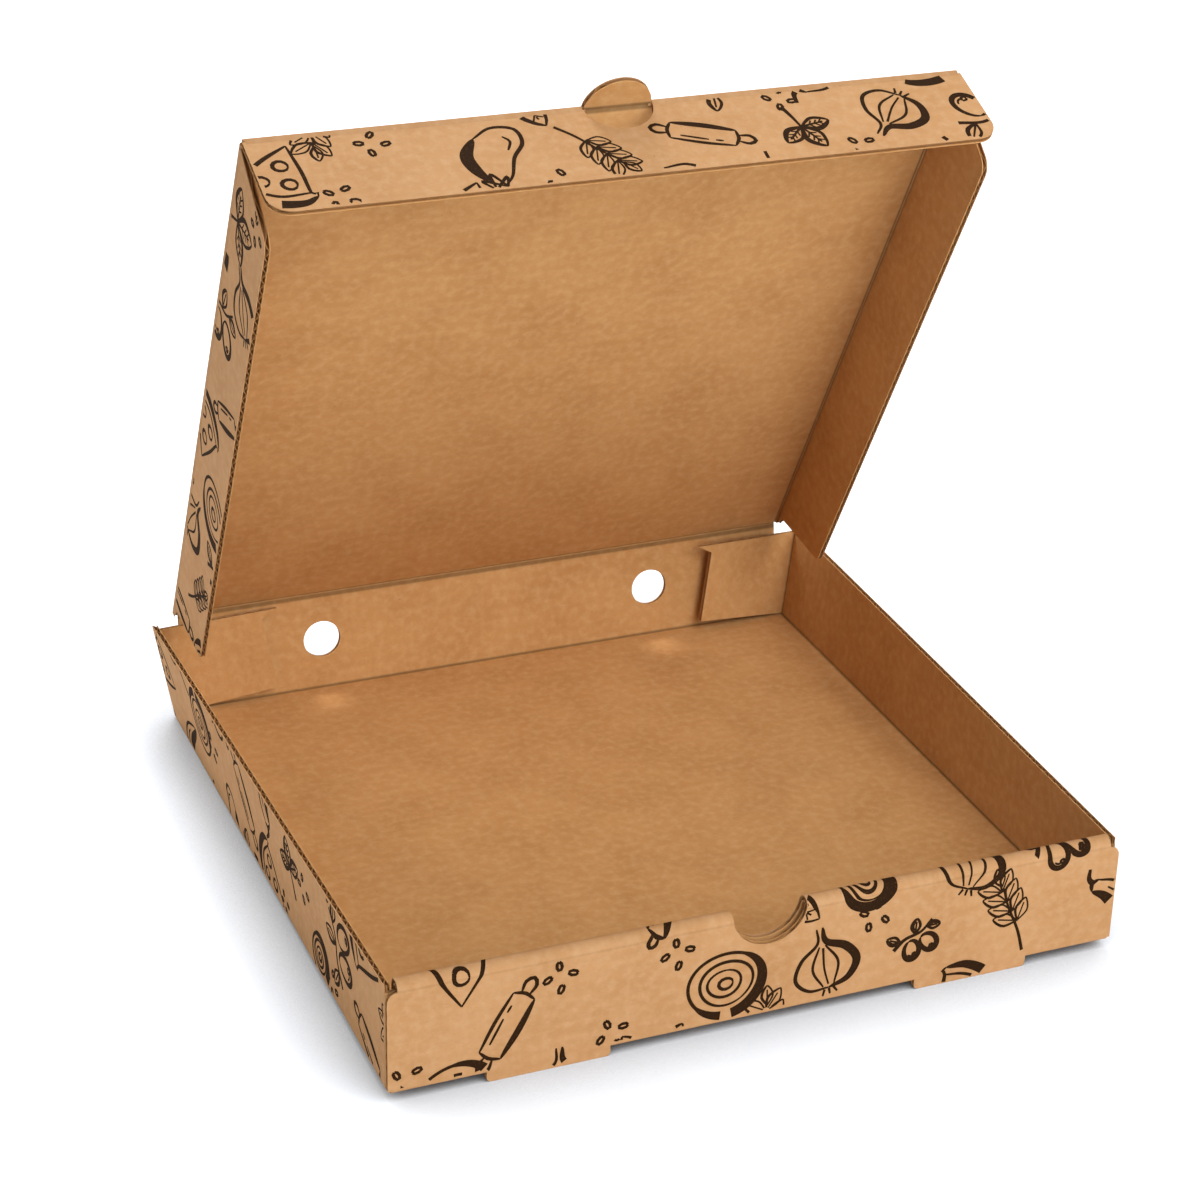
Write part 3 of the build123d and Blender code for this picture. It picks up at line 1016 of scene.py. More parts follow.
def aubergine() -> Drawing:
    """An aubergine with a dark flank and a crown of sepals."""
    art = Drawing()
    art.line([(-6, 12), (-1, 9), (5, 2), (12, -3), (13.5, -10), (6.5, -14), (-2, -12)], 1.3)
    art.line([(-9.5, 8.5), (-10.5, 1), (-9, -6), (-2, -12)], 4.2)
    for tip in ((-12, 6.8), (-7.6, 5.2), (-3.2, 8.6)):
        art.line([(-10, 12.5), tip, (-5.6, 12.8)], 1.1)
    art.line([(-8.4, 12.6), (-10, 17.5)], 2.4, Nib.TAPER)
    art.line([(5.4, -2), (8.6, -5.4), (7.6, -8.6)], 0.9)
    return art


def scatter() -> Drawing:
    """A handful of seeds."""
    art = Drawing()
    for x, y, turn in ((-5, 2, 20), (1, 6, 80), (5.5, 0.5, -30), (-1, -4.5, 55)):
        art.ring((x, y), (2.0, 1.1), 1.0, Nib.EVEN, 0, 360, turn)
    return art


MOTIFS = (
    onion_rings, pizza_slice, herb_leaves, olive_sprig, aubergine, garlic, chilli, wheat_ear,
    rolling_pin,
)


@dataclass
class Printing:
    """The all-over line print on the outside of the board."""

    ink: bpy.types.Material
    # Places of the motifs in a row, and of the rows as a share of that
    spacing: float = 46.0 * MM
    row_share: float = 0.74
    jitter: float = 3.0 * MM
    # How far the rows run past the panel, so that motifs are cut off at its edges
    overlap: float = 16.0 * MM
    # Scales of the motifs and of the scattered seeds, the motifs' spread in size and turn
    motif_size: float = 1.24
    seeds_size: float = 1.05
    size_span: Point = (0.9, 1.1)
    tilt: float = 40.0
    seeds_chance: float = 0.3
    # Share of its reach that a motif keeps clear, and the smallest it gets to fit in
    snug: float = 0.84
    least_size: float = 0.66
    # Widths of the lines: scale of all, least in millimetres, and how they swell and taper
    pen: float = 1.45
    least_width: float = 0.75
    swell_power: float = 0.6
    taper_share: float = 0.7
    # Length and width of the ink's facets on a round part, and its distance from a cut edge
    curve_step: float = 0.4 * MM
    curve_width: float = 0.6 * MM
    edge_margin: float = 0.35 * MM
    # Strokes lie at slightly different levels, so that no two faces coincide where they cross
    ink_step: float = 0.003 * MM
    ink_levels: int = 9
    laid: int = 0

    def panel(
        self, piece: bmesh.types.BMesh, panel: Panel, seed: int, phase: float = 0.0
    ) -> None:
        """Prints a panel with staggered rows of motifs, cut off at its edges.

        Args:
            piece: where the ink goes.
            panel: the panel that is printed.
            seed: start of the layout's random numbers.
            phase: how far the rows are shifted across the flutes.
        """
        rng = random.Random(seed)
        across, along = zip(*panel.outline.loops[0])
        row_gap = self.spacing * self.row_share
        rows = math.ceil((max(across) - min(across) + 2 * self.overlap) / row_gap)
        order = list(range(len(MOTIFS)))
        rng.shuffle(order)
        placed: list[tuple[Vector, float]] = []
        for row in range(rows):
            a = min(across) - self.overlap + phase + row * row_gap
            places = math.ceil((max(along) - min(along) + 2 * self.overlap) / self.spacing)
            for column in range(places):
                stagger = 0.5 * (row % 2)
                b = min(along) - self.overlap + (column + stagger) * self.spacing
                middle = (
                    a + rng.uniform(-self.jitter, self.jitter),
                    b + rng.uniform(-self.jitter, self.jitter),
                )
                # Steps of 2 and 5 keep a motif away from its like in the rows beside it
                motif = MOTIFS[order[(column * 2 + row * 5) % len(order)]]
                size = self.motif_size * rng.uniform(*self.size_span)
                turn = rng.uniform(-self.tilt, self.tilt)
                self.draw(piece, panel, motif(), middle, turn, size, placed)
                if rng.random() < self.seeds_chance:
                    beside = (middle[0] + row_gap * 0.5, middle[1] + self.spacing * 0.5)
                    turn = rng.uniform(0, 180)
                    self.draw(piece, panel, scatter(), beside, turn, self.seeds_size, placed)
        log.info("print: %d motifs on a panel", len(placed))

    def draw(
        self, piece: bmesh.types.BMesh, panel: Panel, art: Drawing, middle: Point, turn: float,
        size: float, placed: list[tuple[Vector, float]],
    ) -> None:
        """Lays one motif on a panel, made smaller or left out where its neighbours leave no room.

        Args:
            piece: where the ink goes.
            panel: the printed panel.
            art: the motif.
            middle: its place across and along the flutes.
            turn: its turn in degrees.
            size: its greatest scale.
            placed: middles and reaches of the motifs so far; this one is added.
        """
        reach = art.reach() * self.snug * MM
        room = min(((Vector(middle) - spot).length - taken for spot, taken in placed), default=FAR)
        if room < reach * self.least_size:
            return
        size = min(size, room / reach)
        placed.append((Vector(middle), reach * size))
        scale = size * MM
        cosine, sine = math.cos(math.radians(turn)) * scale, math.sin(math.radians(turn)) * scale
        for points, width, nib in art.strokes:
            line = [
                Vector((middle[0] + x * sine + y * cosine, middle[1] + x * cosine - y * sine))
                for x, y in points
            ]
            self.laid += 1
            self.stroke(piece, panel, self.refined(panel, line), width * self.pen * MM, nib)

    def refined(self, panel: Panel, line: list[Vector]) -> list[Vector]:
        """Divides a line where it crosses the curved part of a panel.

        Args:
            panel: the printed panel.
            line: the line's points across and along the flutes.

        Returns:
            The line with more points on the curve.
        """
        if panel.curved is None:
            return line
        low, high = panel.curved
        points = [line[0]]
        for start, end in zip(line, line[1:]):
            on_curve = max(start.x, end.x) > low and min(start.x, end.x) < high
            count = max(1, math.ceil((end - start).length / self.curve_step)) if on_curve else 1
            points += [start.lerp(end, (i + 1) / count) for i in range(count)]
        return points

    def stroke(
        self, piece: bmesh.types.BMesh, panel: Panel, line: list[Vector], width: float, nib: Nib
    ) -> None:
        """Lays one line of ink, cut off where the panel ends.

        Args:
            piece: where the ink goes.
            panel: the printed panel.
            line: the line's points across and along the flutes.
            width: its greatest width.
            nib: how the width runs.
        """
        last = len(line) - 1
        run: list[tuple[Vector, Vector]] = []
        for i, point in enumerate(line):
            ahead, behind = line[min(i + 1, last)], line[max(i - 1, 0)]
            heading = ahead - behind
            if heading.length < HAIR:
                continue
            aside = Vector((-heading.y, heading.x)).normalized()
            share = i / last
            body = {
                Nib.EVEN: 1.0,
                Nib.SWELL: math.sin(math.pi * share) ** self.swell_power,
                Nib.TAPER: 1.0 - share * self.taper_share,
            }[nib]
            least = self.least_width * MM
            half = max(least, min(width, least + (width - least) * body)) / 2
            sides = (point + aside * half, point - aside * half)
            clear = all(
                panel.outline.holds(s.x + step, s.y)
                for s in sides for step in (0.0, self.edge_margin, -self.edge_margin)
            )
            if clear:
                run.append(sides)
            if not clear or i == last:
                if len(run) > 1:
                    self.ribbon(piece, panel, run)
                run = []

    def ribbon(
        self, piece: bmesh.types.BMesh, panel: Panel, run: list[tuple[Vector, Vector]]
    ) -> None:
        """Makes a closed thin strip of ink between two side lines.

        Args:
            piece: where the ink goes.
            panel: the printed panel.
            run: pairs of side points.
        """
        low, high = panel.curved or (FAR, FAR)
        widest = max((left - right).length for left, right in run)
        bent = any(low < left.x < high for left, _ in run)
        parts = max(1, math.ceil(widest / self.curve_width)) if bent else 1
        top = BOARD.half - self.laid % self.ink_levels * self.ink_step
        rows = []
        for left, right in run:
            ring = [(left.lerp(right, i / parts), top) for i in range(parts + 1)]
            ring += [(right, BOARD.skin - BOARD.ink), (left, BOARD.skin - BOARD.ink)]
            rows.append([piece.verts.new(panel.place(s.x, s.y, level)) for s, level in ring])
        around = len(rows[0])
        for here, there in zip(rows, rows[1:]):
            for i in range(around):
                j = (i + 1) % around
                piece.faces.new((here[i], here[j], there[j], there[i]))
        piece.faces.new(rows[0])
        piece.faces.new(reversed(rows[-1]))

    def finish(self, name: str, piece: bmesh.types.BMesh, body: str, slot: str) -> None:
        """Turns the ink into a piece that rides on a body.

        Args:
            name: the piece's name.
            piece: its faces.
            body: the body.
            slot: not used.
        """
        made = mesh_object(name, piece, [self.ink])
        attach(made, body)
        report(made)


@dataclass
class FoldedTray:
    """The tray: floor, walls, rolled front, locks and corner flaps, all one folded sheet."""

    width: float = 332.0 * MM
    depth: float = 337.0 * MM
    side_height: float = 49.5 * MM
    side_spread: float = 8.0 * MM
    rear_lean: float = 5.3 * MM
    rear_inset: float = 5.8 * MM
    front_height: float = 51.7 * MM
    roll_inset: float = 4.5 * MM
    layer_gap: float = 0.1 * MM
    rest_gap: float = 0.3 * MM
    notch_radius: float = 17.0 * MM
    trapped_length: float = 92.0 * MM
    trapped_height: float = 46.5 * MM
    lock: Point = (70.0 * MM, 124.0 * MM)
    lip_drop: float = 4.2 * MM
    lip_corner: float = 2.0 * MM
    slot_margin: float = 0.4 * MM
    tab_margin: float = 2.0 * MM
    tab_drop: float = 2.0 * MM
    corner_length: float = 51.5 * MM
    corner_top: float = 46.6 * MM
    corner_start: float = 1.6 * MM
    corner_foot: float = -1.4 * MM
    corner_neck: float = 36.4 * MM
    ear_length: float = 8.6 * MM
    ear_level: float = 39.6 * MM
    corner_gap: float = 0.15 * MM
    stand_off: dict[int, float] = field(default_factory=lambda: {-1: 2.0, 1: 7.0})
    vent_radius: float = 9.5 * MM
    vent_place: float = 88.5 * MM
    vent_height: float = 28.0 * MM
    vent_sides: int = 48
    # A side wall is twisted, so it is divided finely enough for the ink to stay in front of it
    wall_cells: tuple[int, int] = (24, 6)
    # Divisions of the rolled edge, of its corners and the lips', and of the notch's outline
    # below the roll and over it
    roll_bends: int = 24
    roll_corner_steps: int = 8
    lip_corner_steps: int = 4
    notch_steps: int = 18
    notch_top_steps: int = 20
    # How far beyond the rolled edge the ink is still divided finely
    roll_margin: float = 2.0 * MM
    print_phase: float = 8.0 * MM

    def __post_init__(self) -> None:
        """Works out the levels and lines that the panels share."""
        hinge, _ = joint_of("lid_hinge")
        self.hinge = hinge
        half = BOARD.half
        self.front = -(self.depth + self.rear_lean) / 2
        self.rear_foot = self.front + self.depth - half
        self.side_x = self.width / 2 - half
        self.fold_z = self.lip_drop + half
        self.side_top = self.lip_drop + self.side_height
        self.above_floor = self.lip_drop + BOARD.thickness + self.rest_gap
        self.wall_depth = 3 * BOARD.thickness + 2 * self.layer_gap
        self.roll_radius = self.wall_depth / 2
        self.roll_z = self.lip_drop + self.front_height - self.roll_radius
        self.trapped_y = self.front + BOARD.thickness + self.layer_gap + half
        self.rear_slope = (hinge.y - self.rear_foot) / (hinge.z - self.fold_z)
        corner_step = (BOARD.thickness + self.corner_gap) * math.hypot(1, self.rear_slope)
        self.corner_y = self.rear_foot - corner_step

    def floor(self) -> Panel:
        """The floor with its two lock slots."""
        slot = (self.front + BOARD.thickness, self.front + self.wall_depth + self.slot_margin)
        near, far = self.front + BOARD.half, self.rear_foot
        wide = self.side_x
        loops = [[(near, -wide), (far, -wide), (far, wide), (near, wide)]]
        for side in (-1, 1):
            low, high = sorted((side * self.lock[0], side * self.lock[1]))
            loops.append([(slot[0], low), (slot[1], low), (slot[1], high), (slot[0], high)])
        return Panel(
            Outline(loops), lambda a, b, t: Vector((b, a, self.fold_z - t)),
            (near, far), (-wide, wide),
        )

    def side_wall(self, side: int) -> Panel:
        """A side wall, which leans out towards its rear end.

        Args:
            side: -1 for the left wall and 1 for the right one.

        Returns:
            The panel.
        """
        length = self.corner_y - self.trapped_y
        height = self.side_top - self.fold_z

        def place(a: float, b: float, t: float) -> Vector:
            """Bilinear sheet between the foot and the raw top."""
            share, rise = a / length, b / height
            x = self.side_x + self.side_spread * rise * share + t
            y = self.trapped_y + share * (length + self.rear_slope * b)
            return Vector((side * x, y, self.fold_z + b))

        loop = [(0.0, 0.0), (length, 0.0), (length, height), (0.0, height)]
        columns, rows = self.wall_cells
        bends = tuple(length * i / columns for i in range(1, columns))
        cuts = tuple(height * i / rows for i in range(1, rows))
        return Panel(
            Outline([loop]), place, (0.0, length), (0.0, None), bends=bends, cuts=cuts,
            shift=0.5 + side * 0.25,
        )

    def notch_half(self, level: float) -> float:
        """Half the width of the thumb notch at a level."""
        drop = self.lip_drop + self.front_height - level
        return math.sqrt(max(0.0, self.notch_radius**2 - drop**2))

    def front_wall(self) -> Panel:
        """The outer board with its lips, the rolled edge and the inner board, as one strip."""
        middle = self.roll_radius - BOARD.half
        rise = self.roll_z - self.fold_z
        over = math.pi * middle
        drop = self.roll_z - self.above_floor
        reach = rise + over + drop

        def place(a: float, b: float, t: float) -> Vector:
            """Up the outside, round the roll and down the inside."""
            if a <= rise:
                return Vector((b, self.front + BOARD.half - t, self.fold_z + a))
            if a < rise + over:
                turn = (a - rise) / middle
                y = self.front + self.roll_radius - (middle + t) * math.cos(turn)
                return Vector((b, y, self.roll_z + (middle + t) * math.sin(turn)))
            y = self.front + self.wall_depth - BOARD.half + t
            return Vector((b, y, self.roll_z - (a - rise - over)))

        wide, narrow = self.width / 2, self.width / 2 - self.roll_inset
        tab_end = reach + self.above_floor - self.lip_drop + self.tab_drop
        right = [(0.0, wide)]
        corner = (rise - self.roll_inset, narrow)
        right += circle(corner, self.roll_inset, 90, 0, self.roll_corner_steps)
        right += [(reach, narrow)]
        tab = [self.lock[1] - self.tab_margin, self.lock[0] + self.tab_margin]
        right += [(reach, tab[0]), (tab_end, tab[0]), (tab_end, tab[1]), (reach, tab[1])]
        round_lip, steps = self.lip_corner, self.lip_corner_steps
        lip_foot = round_lip - self.fold_z
        lip = [(0.0, self.lock[0]), (lip_foot, self.lock[0])]
        lip += circle((lip_foot, self.lock[0] + round_lip), round_lip, 270, 180, steps)[1:]
        lip += circle((lip_foot, self.lock[1] - round_lip), round_lip, 180, 90, steps)
        lip += [(0.0, self.lock[1])]
        half_loop = lip + right
        loop = half_loop + [(a, -b) for a, b in reversed(half_loop)]
        low = self.lip_drop + self.front_height - self.notch_radius
        levels = []
        for i in range(self.notch_steps + 1):
            share = 1 - math.cos(math.pi / 2 * i / self.notch_steps)
            levels.append(low + (self.roll_z - low) * share)
        side = [(z - self.fold_z, self.notch_half(z)) for z in levels]
        for i in range(1, self.notch_top_steps):
            a = rise + over * i / self.notch_top_steps
            level = self.roll_z + middle * math.sin((a - rise) / middle)
            side.append((a, self.notch_half(level)))
        side += [(rise + over + self.roll_z - z, self.notch_half(z)) for z in reversed(levels)]
        notch = side + [(a, -b) for a, b in reversed(side[1:-1])]
        bends = tuple(rise + over * i / self.roll_bends for i in range(self.roll_bends + 1))
        return Panel(
            Outline([loop, notch]), place, (None, rise), bends=bends, shift=1.5,
            curved=(rise - self.roll_margin, rise + over + self.roll_margin),
        )

    def trapped_flap(self, side: int) -> Panel:
        """The end of a side wall, folded in between the two boards of the front wall.

        Args:
            side: -1 for the left wall's end and 1 for the right one's.

        Returns:
            The panel.
        """
        low, high = self.above_floor, self.lip_drop + self.trapped_height
        loop = [(0.0, low), (self.trapped_length, low), (self.trapped_length, high), (0.0, high)]
        return Panel(
            Outline([loop]),
            lambda a, b, t: Vector((side * (self.side_x - a), self.trapped_y - t, b)),
            shift=2.0,
        )

    def rear_wall(self) -> Panel:
        """The rear wall with its vent holes."""
        norm = math.hypot(1, self.rear_slope)
        up = Vector((0, self.rear_slope, 1)) / norm
        out = Vector((0, 1, -self.rear_slope)) / norm
        foot = Vector((0, self.rear_foot, self.fold_z))
        height = (self.hinge - foot).length
        wide = self.width / 2 - self.rear_inset
        loops = [[(0.0, -wide), (height, -wide), (height, wide), (0.0, wide)]]
        for side in (-1, 1):
            middle = (self.vent_height - BOARD.half, side * self.vent_place)
            loops.append(circle(middle, self.vent_radius, 0, 360, self.vent_sides)[:-1])
        return Panel(
            Outline(loops), lambda a, b, t: foot + Vector((b, 0, 0)) + up * a + out * t,
            (0.0, height), shift=2.5,
        )

    def corner_flap(self, side: int) -> Panel:
        """A rear corner flap with its ear.

        Args:
            side: -1 for the left flap and 1 for the right one.

        Returns:
            The panel.
        """
        rise = self.side_top - self.fold_z
        fold = Vector((side * self.side_spread, self.rear_slope * rise, rise)).normalized()
        forward = Vector((0, -1, self.rear_slope)).normalized()
        inward = forward.cross(fold) * side
        turn = math.radians(self.stand_off[side])
        reach = inward * math.cos(turn) + forward * math.sin(turn)
        out = reach.cross(fold) * side
        foot = Vector((side * self.side_x, self.corner_y, self.fold_z))
        loop = [
            (0.0, self.corner_start),
            (self.corner_length, self.corner_foot),
            (self.corner_length, self.corner_neck),
            (self.corner_length + self.ear_length, self.ear_level),
            (0.0, self.corner_top),
        ]
        return Panel(
            Outline([loop]), lambda a, b, t: foot + reach * a + fold * b + out * t,
            (0.0, None), shift=3.0 + side * 0.3,
        )

    def build(self, materials: list[bpy.types.Material], printing: Printing) -> None:
        """Builds the tray and its print.

        Args:
            materials: the board's materials.
            printing: the print on its outside.
        """
        tray = BoardMesh("tray_board")
        front_y = self.front + BOARD.half
        front, rear = self.front_wall(), self.rear_wall()
        walls = {side: self.side_wall(side) for side in (-1, 1)}
        for panel in (self.floor(), front, rear, *walls.values()):
            tray.board(panel)
        for side in (-1, 1):
            tray.board(self.trapped_flap(side))
            corner = self.corner_flap(side)
            tray.board(corner)
            foot = Vector((side * self.side_x, self.trapped_y, self.fold_z))
            tray.fold(foot, Vector((foot.x, self.corner_y, self.fold_z)))
            tray.fold(foot, Vector((foot.x, foot.y, self.lip_drop + self.trapped_height)))
            tray.fold(corner.place(0, 0, 0), corner.place(0, self.corner_top, 0))
        near, far = self.lock
        rear_end = self.width / 2 - self.rear_inset
        # The front fold in three parts between the lips, the rear wall's foot and its top
        for low, high, y, z, slot in (
            (-self.side_x, -far, front_y, self.fold_z, Face.OUTSIDE),
            (-near, near, front_y, self.fold_z, Face.OUTSIDE),
            (far, self.side_x, front_y, self.fold_z, Face.OUTSIDE),
            (-rear_end, rear_end, self.rear_foot, self.fold_z, Face.OUTSIDE),
            (-rear_end, rear_end, self.hinge.y, self.hinge.z, Face.INSIDE),
        ):
            tray.fold(Vector((low, y, z)), Vector((high, y, z)), slot)
        tray.finish(materials, "tray", "tray")
        ink = bmesh.new()
        printing.panel(ink, front, SEEDS["front_wall"], self.print_phase)
        printing.finish("front_wall_print", ink, "tray", "tray")
        ink = bmesh.new()
        printing.panel(ink, walls[-1], SEEDS["left_wall"])
        printing.panel(ink, walls[1], SEEDS["right_wall"])
        printing.panel(ink, rear, SEEDS["rear_wall"])
        printing.finish("side_and_rear_print", ink, "tray", "tray")


@dataclass
class HingedLid:
    """The lid panel with its thumb tab, and the three flaps that fold on it."""

    length: float = 324.0 * MM
    crease_gap: float = 0.3 * MM
    tab_radius: float = 15.45 * MM
    tab_gap: float = 0.4 * MM
    # Share of the board that is crushed where the fold line runs on under the tab
    tab_groove: float = 0.45
    # Width of the step from the crushed fold to the tab
    tab_step: float = 0.5 * MM
    arc_steps: int = 40
    corner_steps: int = 8
    side_depth: float = 45.0 * MM
    rear_places: tuple[float, ...] = (1.8 * MM, 6.0 * MM, 10.6 * MM, 26.5 * MM)
    rear_depths: Point = (3.9 * MM, 5.6 * MM)
    near_gap: float = 2.1 * MM
    near_taper: float = 10.9 * MM
    near_corner: float = 7.0 * MM
    rear_corner: float = 3.0 * MM
    front_depth: float = 44.9 * MM
    front_splay: float = 5.5
    front_inset: float = 0.5 * MM
    front_corner: float = 10.0 * MM
    print_phase: float = 5.0 * MM
    # Half the length of the hinge fold, and how far the rear wall leans back there
    hinge_half: float = 160.2 * MM
    hinge_lean: float = 0.1
    # The liner over a moving fold: its reach on each side, its height over the boards, its bends
    skin_reach: float = 3.0 * MM
    skin_lift: float = 0.02 * MM
    skin_steps: int = 10
    # Distance between the liner's bends on its paper pattern, and the pattern's shift in metres
    skin_step: float = 0.4 * MM
    skin_shift: float = 6.0
    # How far the side creases stay off both ends of the flap
    skin_end: float = 1.0 * MM

    def __post_init__(self) -> None:
        """Works out the lid's own directions from its joints."""
        self.hinge, _ = joint_of("lid_hinge")
        corner, self.along = joint_of("right_flap_fold")
        self.half_width = corner.x
        self.inward = Vector((1, 0, 0)).cross(self.along)
        self.start = BOARD.half + self.crease_gap
        splay = math.radians(self.front_splay)
        self.down = self.inward * math.cos(splay) + self.along * math.sin(splay)

    def at(self, x: float, s: float, t: float) -> Vector:
        """A point by its place across the lid, from the hinge, and out of the lid's top."""
        return self.hinge + Vector((x, 0, 0)) + self.along * s - self.inward * t

    def lid_panel(self) -> Panel:
        """The lid panel with its thumb tab, crushed along its folds."""
        x, r = self.half_width, self.tab_radius
        loop = [(self.start, -x), (self.length, -x)]
        loop += circle((self.length, 0.0), r, -90, 90, self.arc_steps)
        loop += [(self.length, x), (self.start, x)]

        def inner(a: float, b: float) -> float:
            """Level of the inside, sinking towards each fold."""
            reach = min(a, x - abs(b))
            if abs(b) > r:
                reach = min(reach, abs(self.length - a))
            else:
                groove = BOARD.crush_run * (1 - self.tab_groove)
                reach = min(reach, groove + abs(self.length - a))
            return BOARD.crushed(reach)

        run = BOARD.crush_run
        cuts = (run - x, -r - self.tab_step, -r, r, r + self.tab_step, x - run)
        return Panel(
            Outline([loop]), lambda a, b, t: self.at(b, a, t), (0.0, self.length), (-x, x), inner,
            bends=(run, self.length - run, self.length + run), cuts=cuts,
        )

    def side_flap(self, side: int) -> Panel:
        """A side flap, square to the lid.

        Args:
            side: -1 for the left flap and 1 for the right one.

        Returns:
            The panel.
        """
        depths = (self.start, *self.rear_depths, self.side_depth)
        rear = list(zip(self.rear_places, depths))
        near = self.length - self.near_gap
        tip, end = (near - self.near_taper, self.side_depth), (near, self.start)
        loop = rear[:3]
        loop += rounded(rear[2], rear[3], tip, self.rear_corner)
        loop += rounded(rear[3], tip, end, self.near_corner)
        loop += [end]
        x = self.half_width

        def place(a: float, b: float, t: float) -> Vector:
            """From along the lid, down the flap and out of it."""
            return self.at(side * (x + t), a, -b)

        return Panel(
            Outline([loop]), place, folds_along=(0.0, None), inner=lambda a, b: BOARD.crushed(b),
            cuts=(BOARD.crush_run,), shift=4.0 + side * 0.4,
        )

    def front_flap(self) -> Panel:
        """The front flap with the cut-out under the thumb tab."""
        wide = self.half_width + BOARD.half - self.front_inset
        cut = self.tab_radius + self.tab_gap
        edge = math.degrees(math.asin(self.start / cut))
        loop = [(self.start, wide)]
        centre = self.front_depth - self.front_corner, wide - self.front_corner
        loop += circle(centre, self.front_corner, 90, 0, self.corner_steps)
        loop += circle((centre[0], -centre[1]), self.front_corner, 0, -90, self.corner_steps)
        loop += [(self.start, -wide)]
        loop += circle((0.0, 0.0), cut, -90 + edge, 90 - edge, self.arc_steps)
        fold = self.at(0, self.length, 0)
        out = self.down.cross(Vector((1, 0, 0)))
        return Panel(
            Outline([loop]),
            lambda a, b, t: fold + Vector((b, 0, 0)) + self.down * a + out * t, (0.0, None),
            inner=lambda a, b: BOARD.crushed(a), bends=(BOARD.crush_run,), shift=5.0,
        )

    def crease_skin(
        self, name: str, start: Vector, run: Vector, outs: tuple[Vector, Vector],
        ways: tuple[Vector, Vector], material: bpy.types.Material,
    ) -> None:
        """Bends the outer liner round a moving fold.

        Args:
            name: the piece's name.
            start: one end of the fold's axis.
            run: from there to the other end.
            outs: outward directions of the two panels.
            ways: directions from the fold into the two panels.
            material: the outer liner.
        """
        turn = outs[0].angle(outs[1])
        axis = outs[0].cross(outs[1]).normalized()
        profile = []
        for level in (BOARD.skin + self.skin_lift, BOARD.skin - BOARD.liner):
            row = [outs[0] * level + ways[0] * self.skin_reach]
            for i in range(self.skin_steps + 1):
                row.append((Matrix.Rotation(turn * i / self.skin_steps, 3, axis) @ outs[0]) * level)
            row.append(outs[1] * level + ways[1] * self.skin_reach)
            profile.append(row)
        ring = profile[0] + profile[1][::-1]
        mesh = bmesh.new()
        # With no fold-distance maps, the whole skin takes the outer liner's painted fold shade at
        # its darkest
        layer = mesh.loops.layers.uv.new("Board")
        ends = [[mesh.verts.new(start + run * share + p) for p in ring] for share in (0.0, 1.0)]
        for i in range(len(ring)):
            j = (i + 1) % len(ring)
            made = mesh.faces.new((ends[0][i], ends[0][j], ends[1][j], ends[1][i]))
            made.smooth = True
            for loop, spot in zip(made.loops, ((0, i), (0, j), (run.length, j), (run.length, i))):
                loop[layer].uv = (spot[0] + self.skin_shift, spot[1] * self.skin_step)
        for i in range(len(profile[0]) - 1):
            j = len(ring) - 1 - i
            for end in ends:
                mesh.faces.new((end[i], end[i + 1], end[j - 1], end[j]))
        piece = mesh_object(name, mesh, [material])
        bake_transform(piece)
        report(piece)

    def build(self, materials: list[bpy.types.Material], printing: Printing) -> None:
        """Builds the lid, its flaps, their creases and their print.

        Args:
            materials: the board's materials.
            printing: the print on the outside.
        """
        x, r, length = self.half_width, self.tab_radius, self.length
        lid = BoardMesh("lid_board")
        panel = self.lid_panel()
        lid.board(panel)
        for side in (-1, 1):
            corner = self.at(side * x, length, 0)
            lid.fold(self.at(side * x, self.start, 0), self.at(side * x, length - BOARD.half, 0))
            lid.fold(self.at(side * (r - BOARD.half), length, 0), corner)
        lid.finish(materials, "lid", "lid")
        ink = bmesh.new()
        printing.panel(ink, panel, SEEDS["lid"])
        printing.finish("lid_print", ink, "lid", "lid")
        for side, word in ((-1, "left"), (1, "right")):
            self.flap(f"{word}_flap", self.side_flap(side), 0.0, materials, printing)
            aside = Vector((side, 0, 0))
            first = self.rear_places[0] + self.skin_end
            last = length - self.near_gap - self.skin_end
            self.crease_skin(
                f"{word}_flap_crease", self.at(side * x, first, 0), self.along * (last - first),
                (-self.inward, aside), (-aside, self.inward),
                materials[0],
            )
        self.flap("front_flap", self.front_flap(), self.print_phase, materials, printing)
        out = self.down.cross(Vector((1, 0, 0)))
        for side, word in ((-1, "left"), (1, "right")):
            begin = side * (r + self.tab_gap)
            self.crease_skin(
                f"front_{word}_crease", self.at(begin, length, 0),
                Vector((side * (x - self.front_inset) - begin, 0, 0)),
                (-self.inward, out), (-self.along, self.down),
                materials[0],
            )
        tray_out = Vector((0, 1, -self.hinge_lean)).normalized()
        tray_down = Vector((0, -self.hinge_lean, -1)).normalized()
        self.crease_skin(
            "hinge_crease", self.at(-self.hinge_half, 0, 0), Vector((2 * self.hinge_half, 0, 0)),
            (tray_out, -self.inward), (tray_down, self.along), materials[0],
        )

    def flap(
        self, name: str, panel: Panel, phase: float, materials: list[bpy.types.Material],
        printing: Printing,
    ) -> None:
        """Builds one flap and its print.

        Args:
            name: the flap's name, to which its body and node add lid_ in front.
            panel: its panel.
            phase: how far the print is shifted across the flutes.
            materials: the board's materials.
            printing: the print on its outside.
        """
        flap = BoardMesh(f"{name}_board")
        flap.board(panel)
        flap.finish(materials, f"lid_{name}", f"lid_{name}")
        ink = bmesh.new()
        printing.panel(ink, panel, SEEDS[name], phase)
        printing.finish(f"{name}_print", ink, f"lid_{name}", f"lid_{name}")


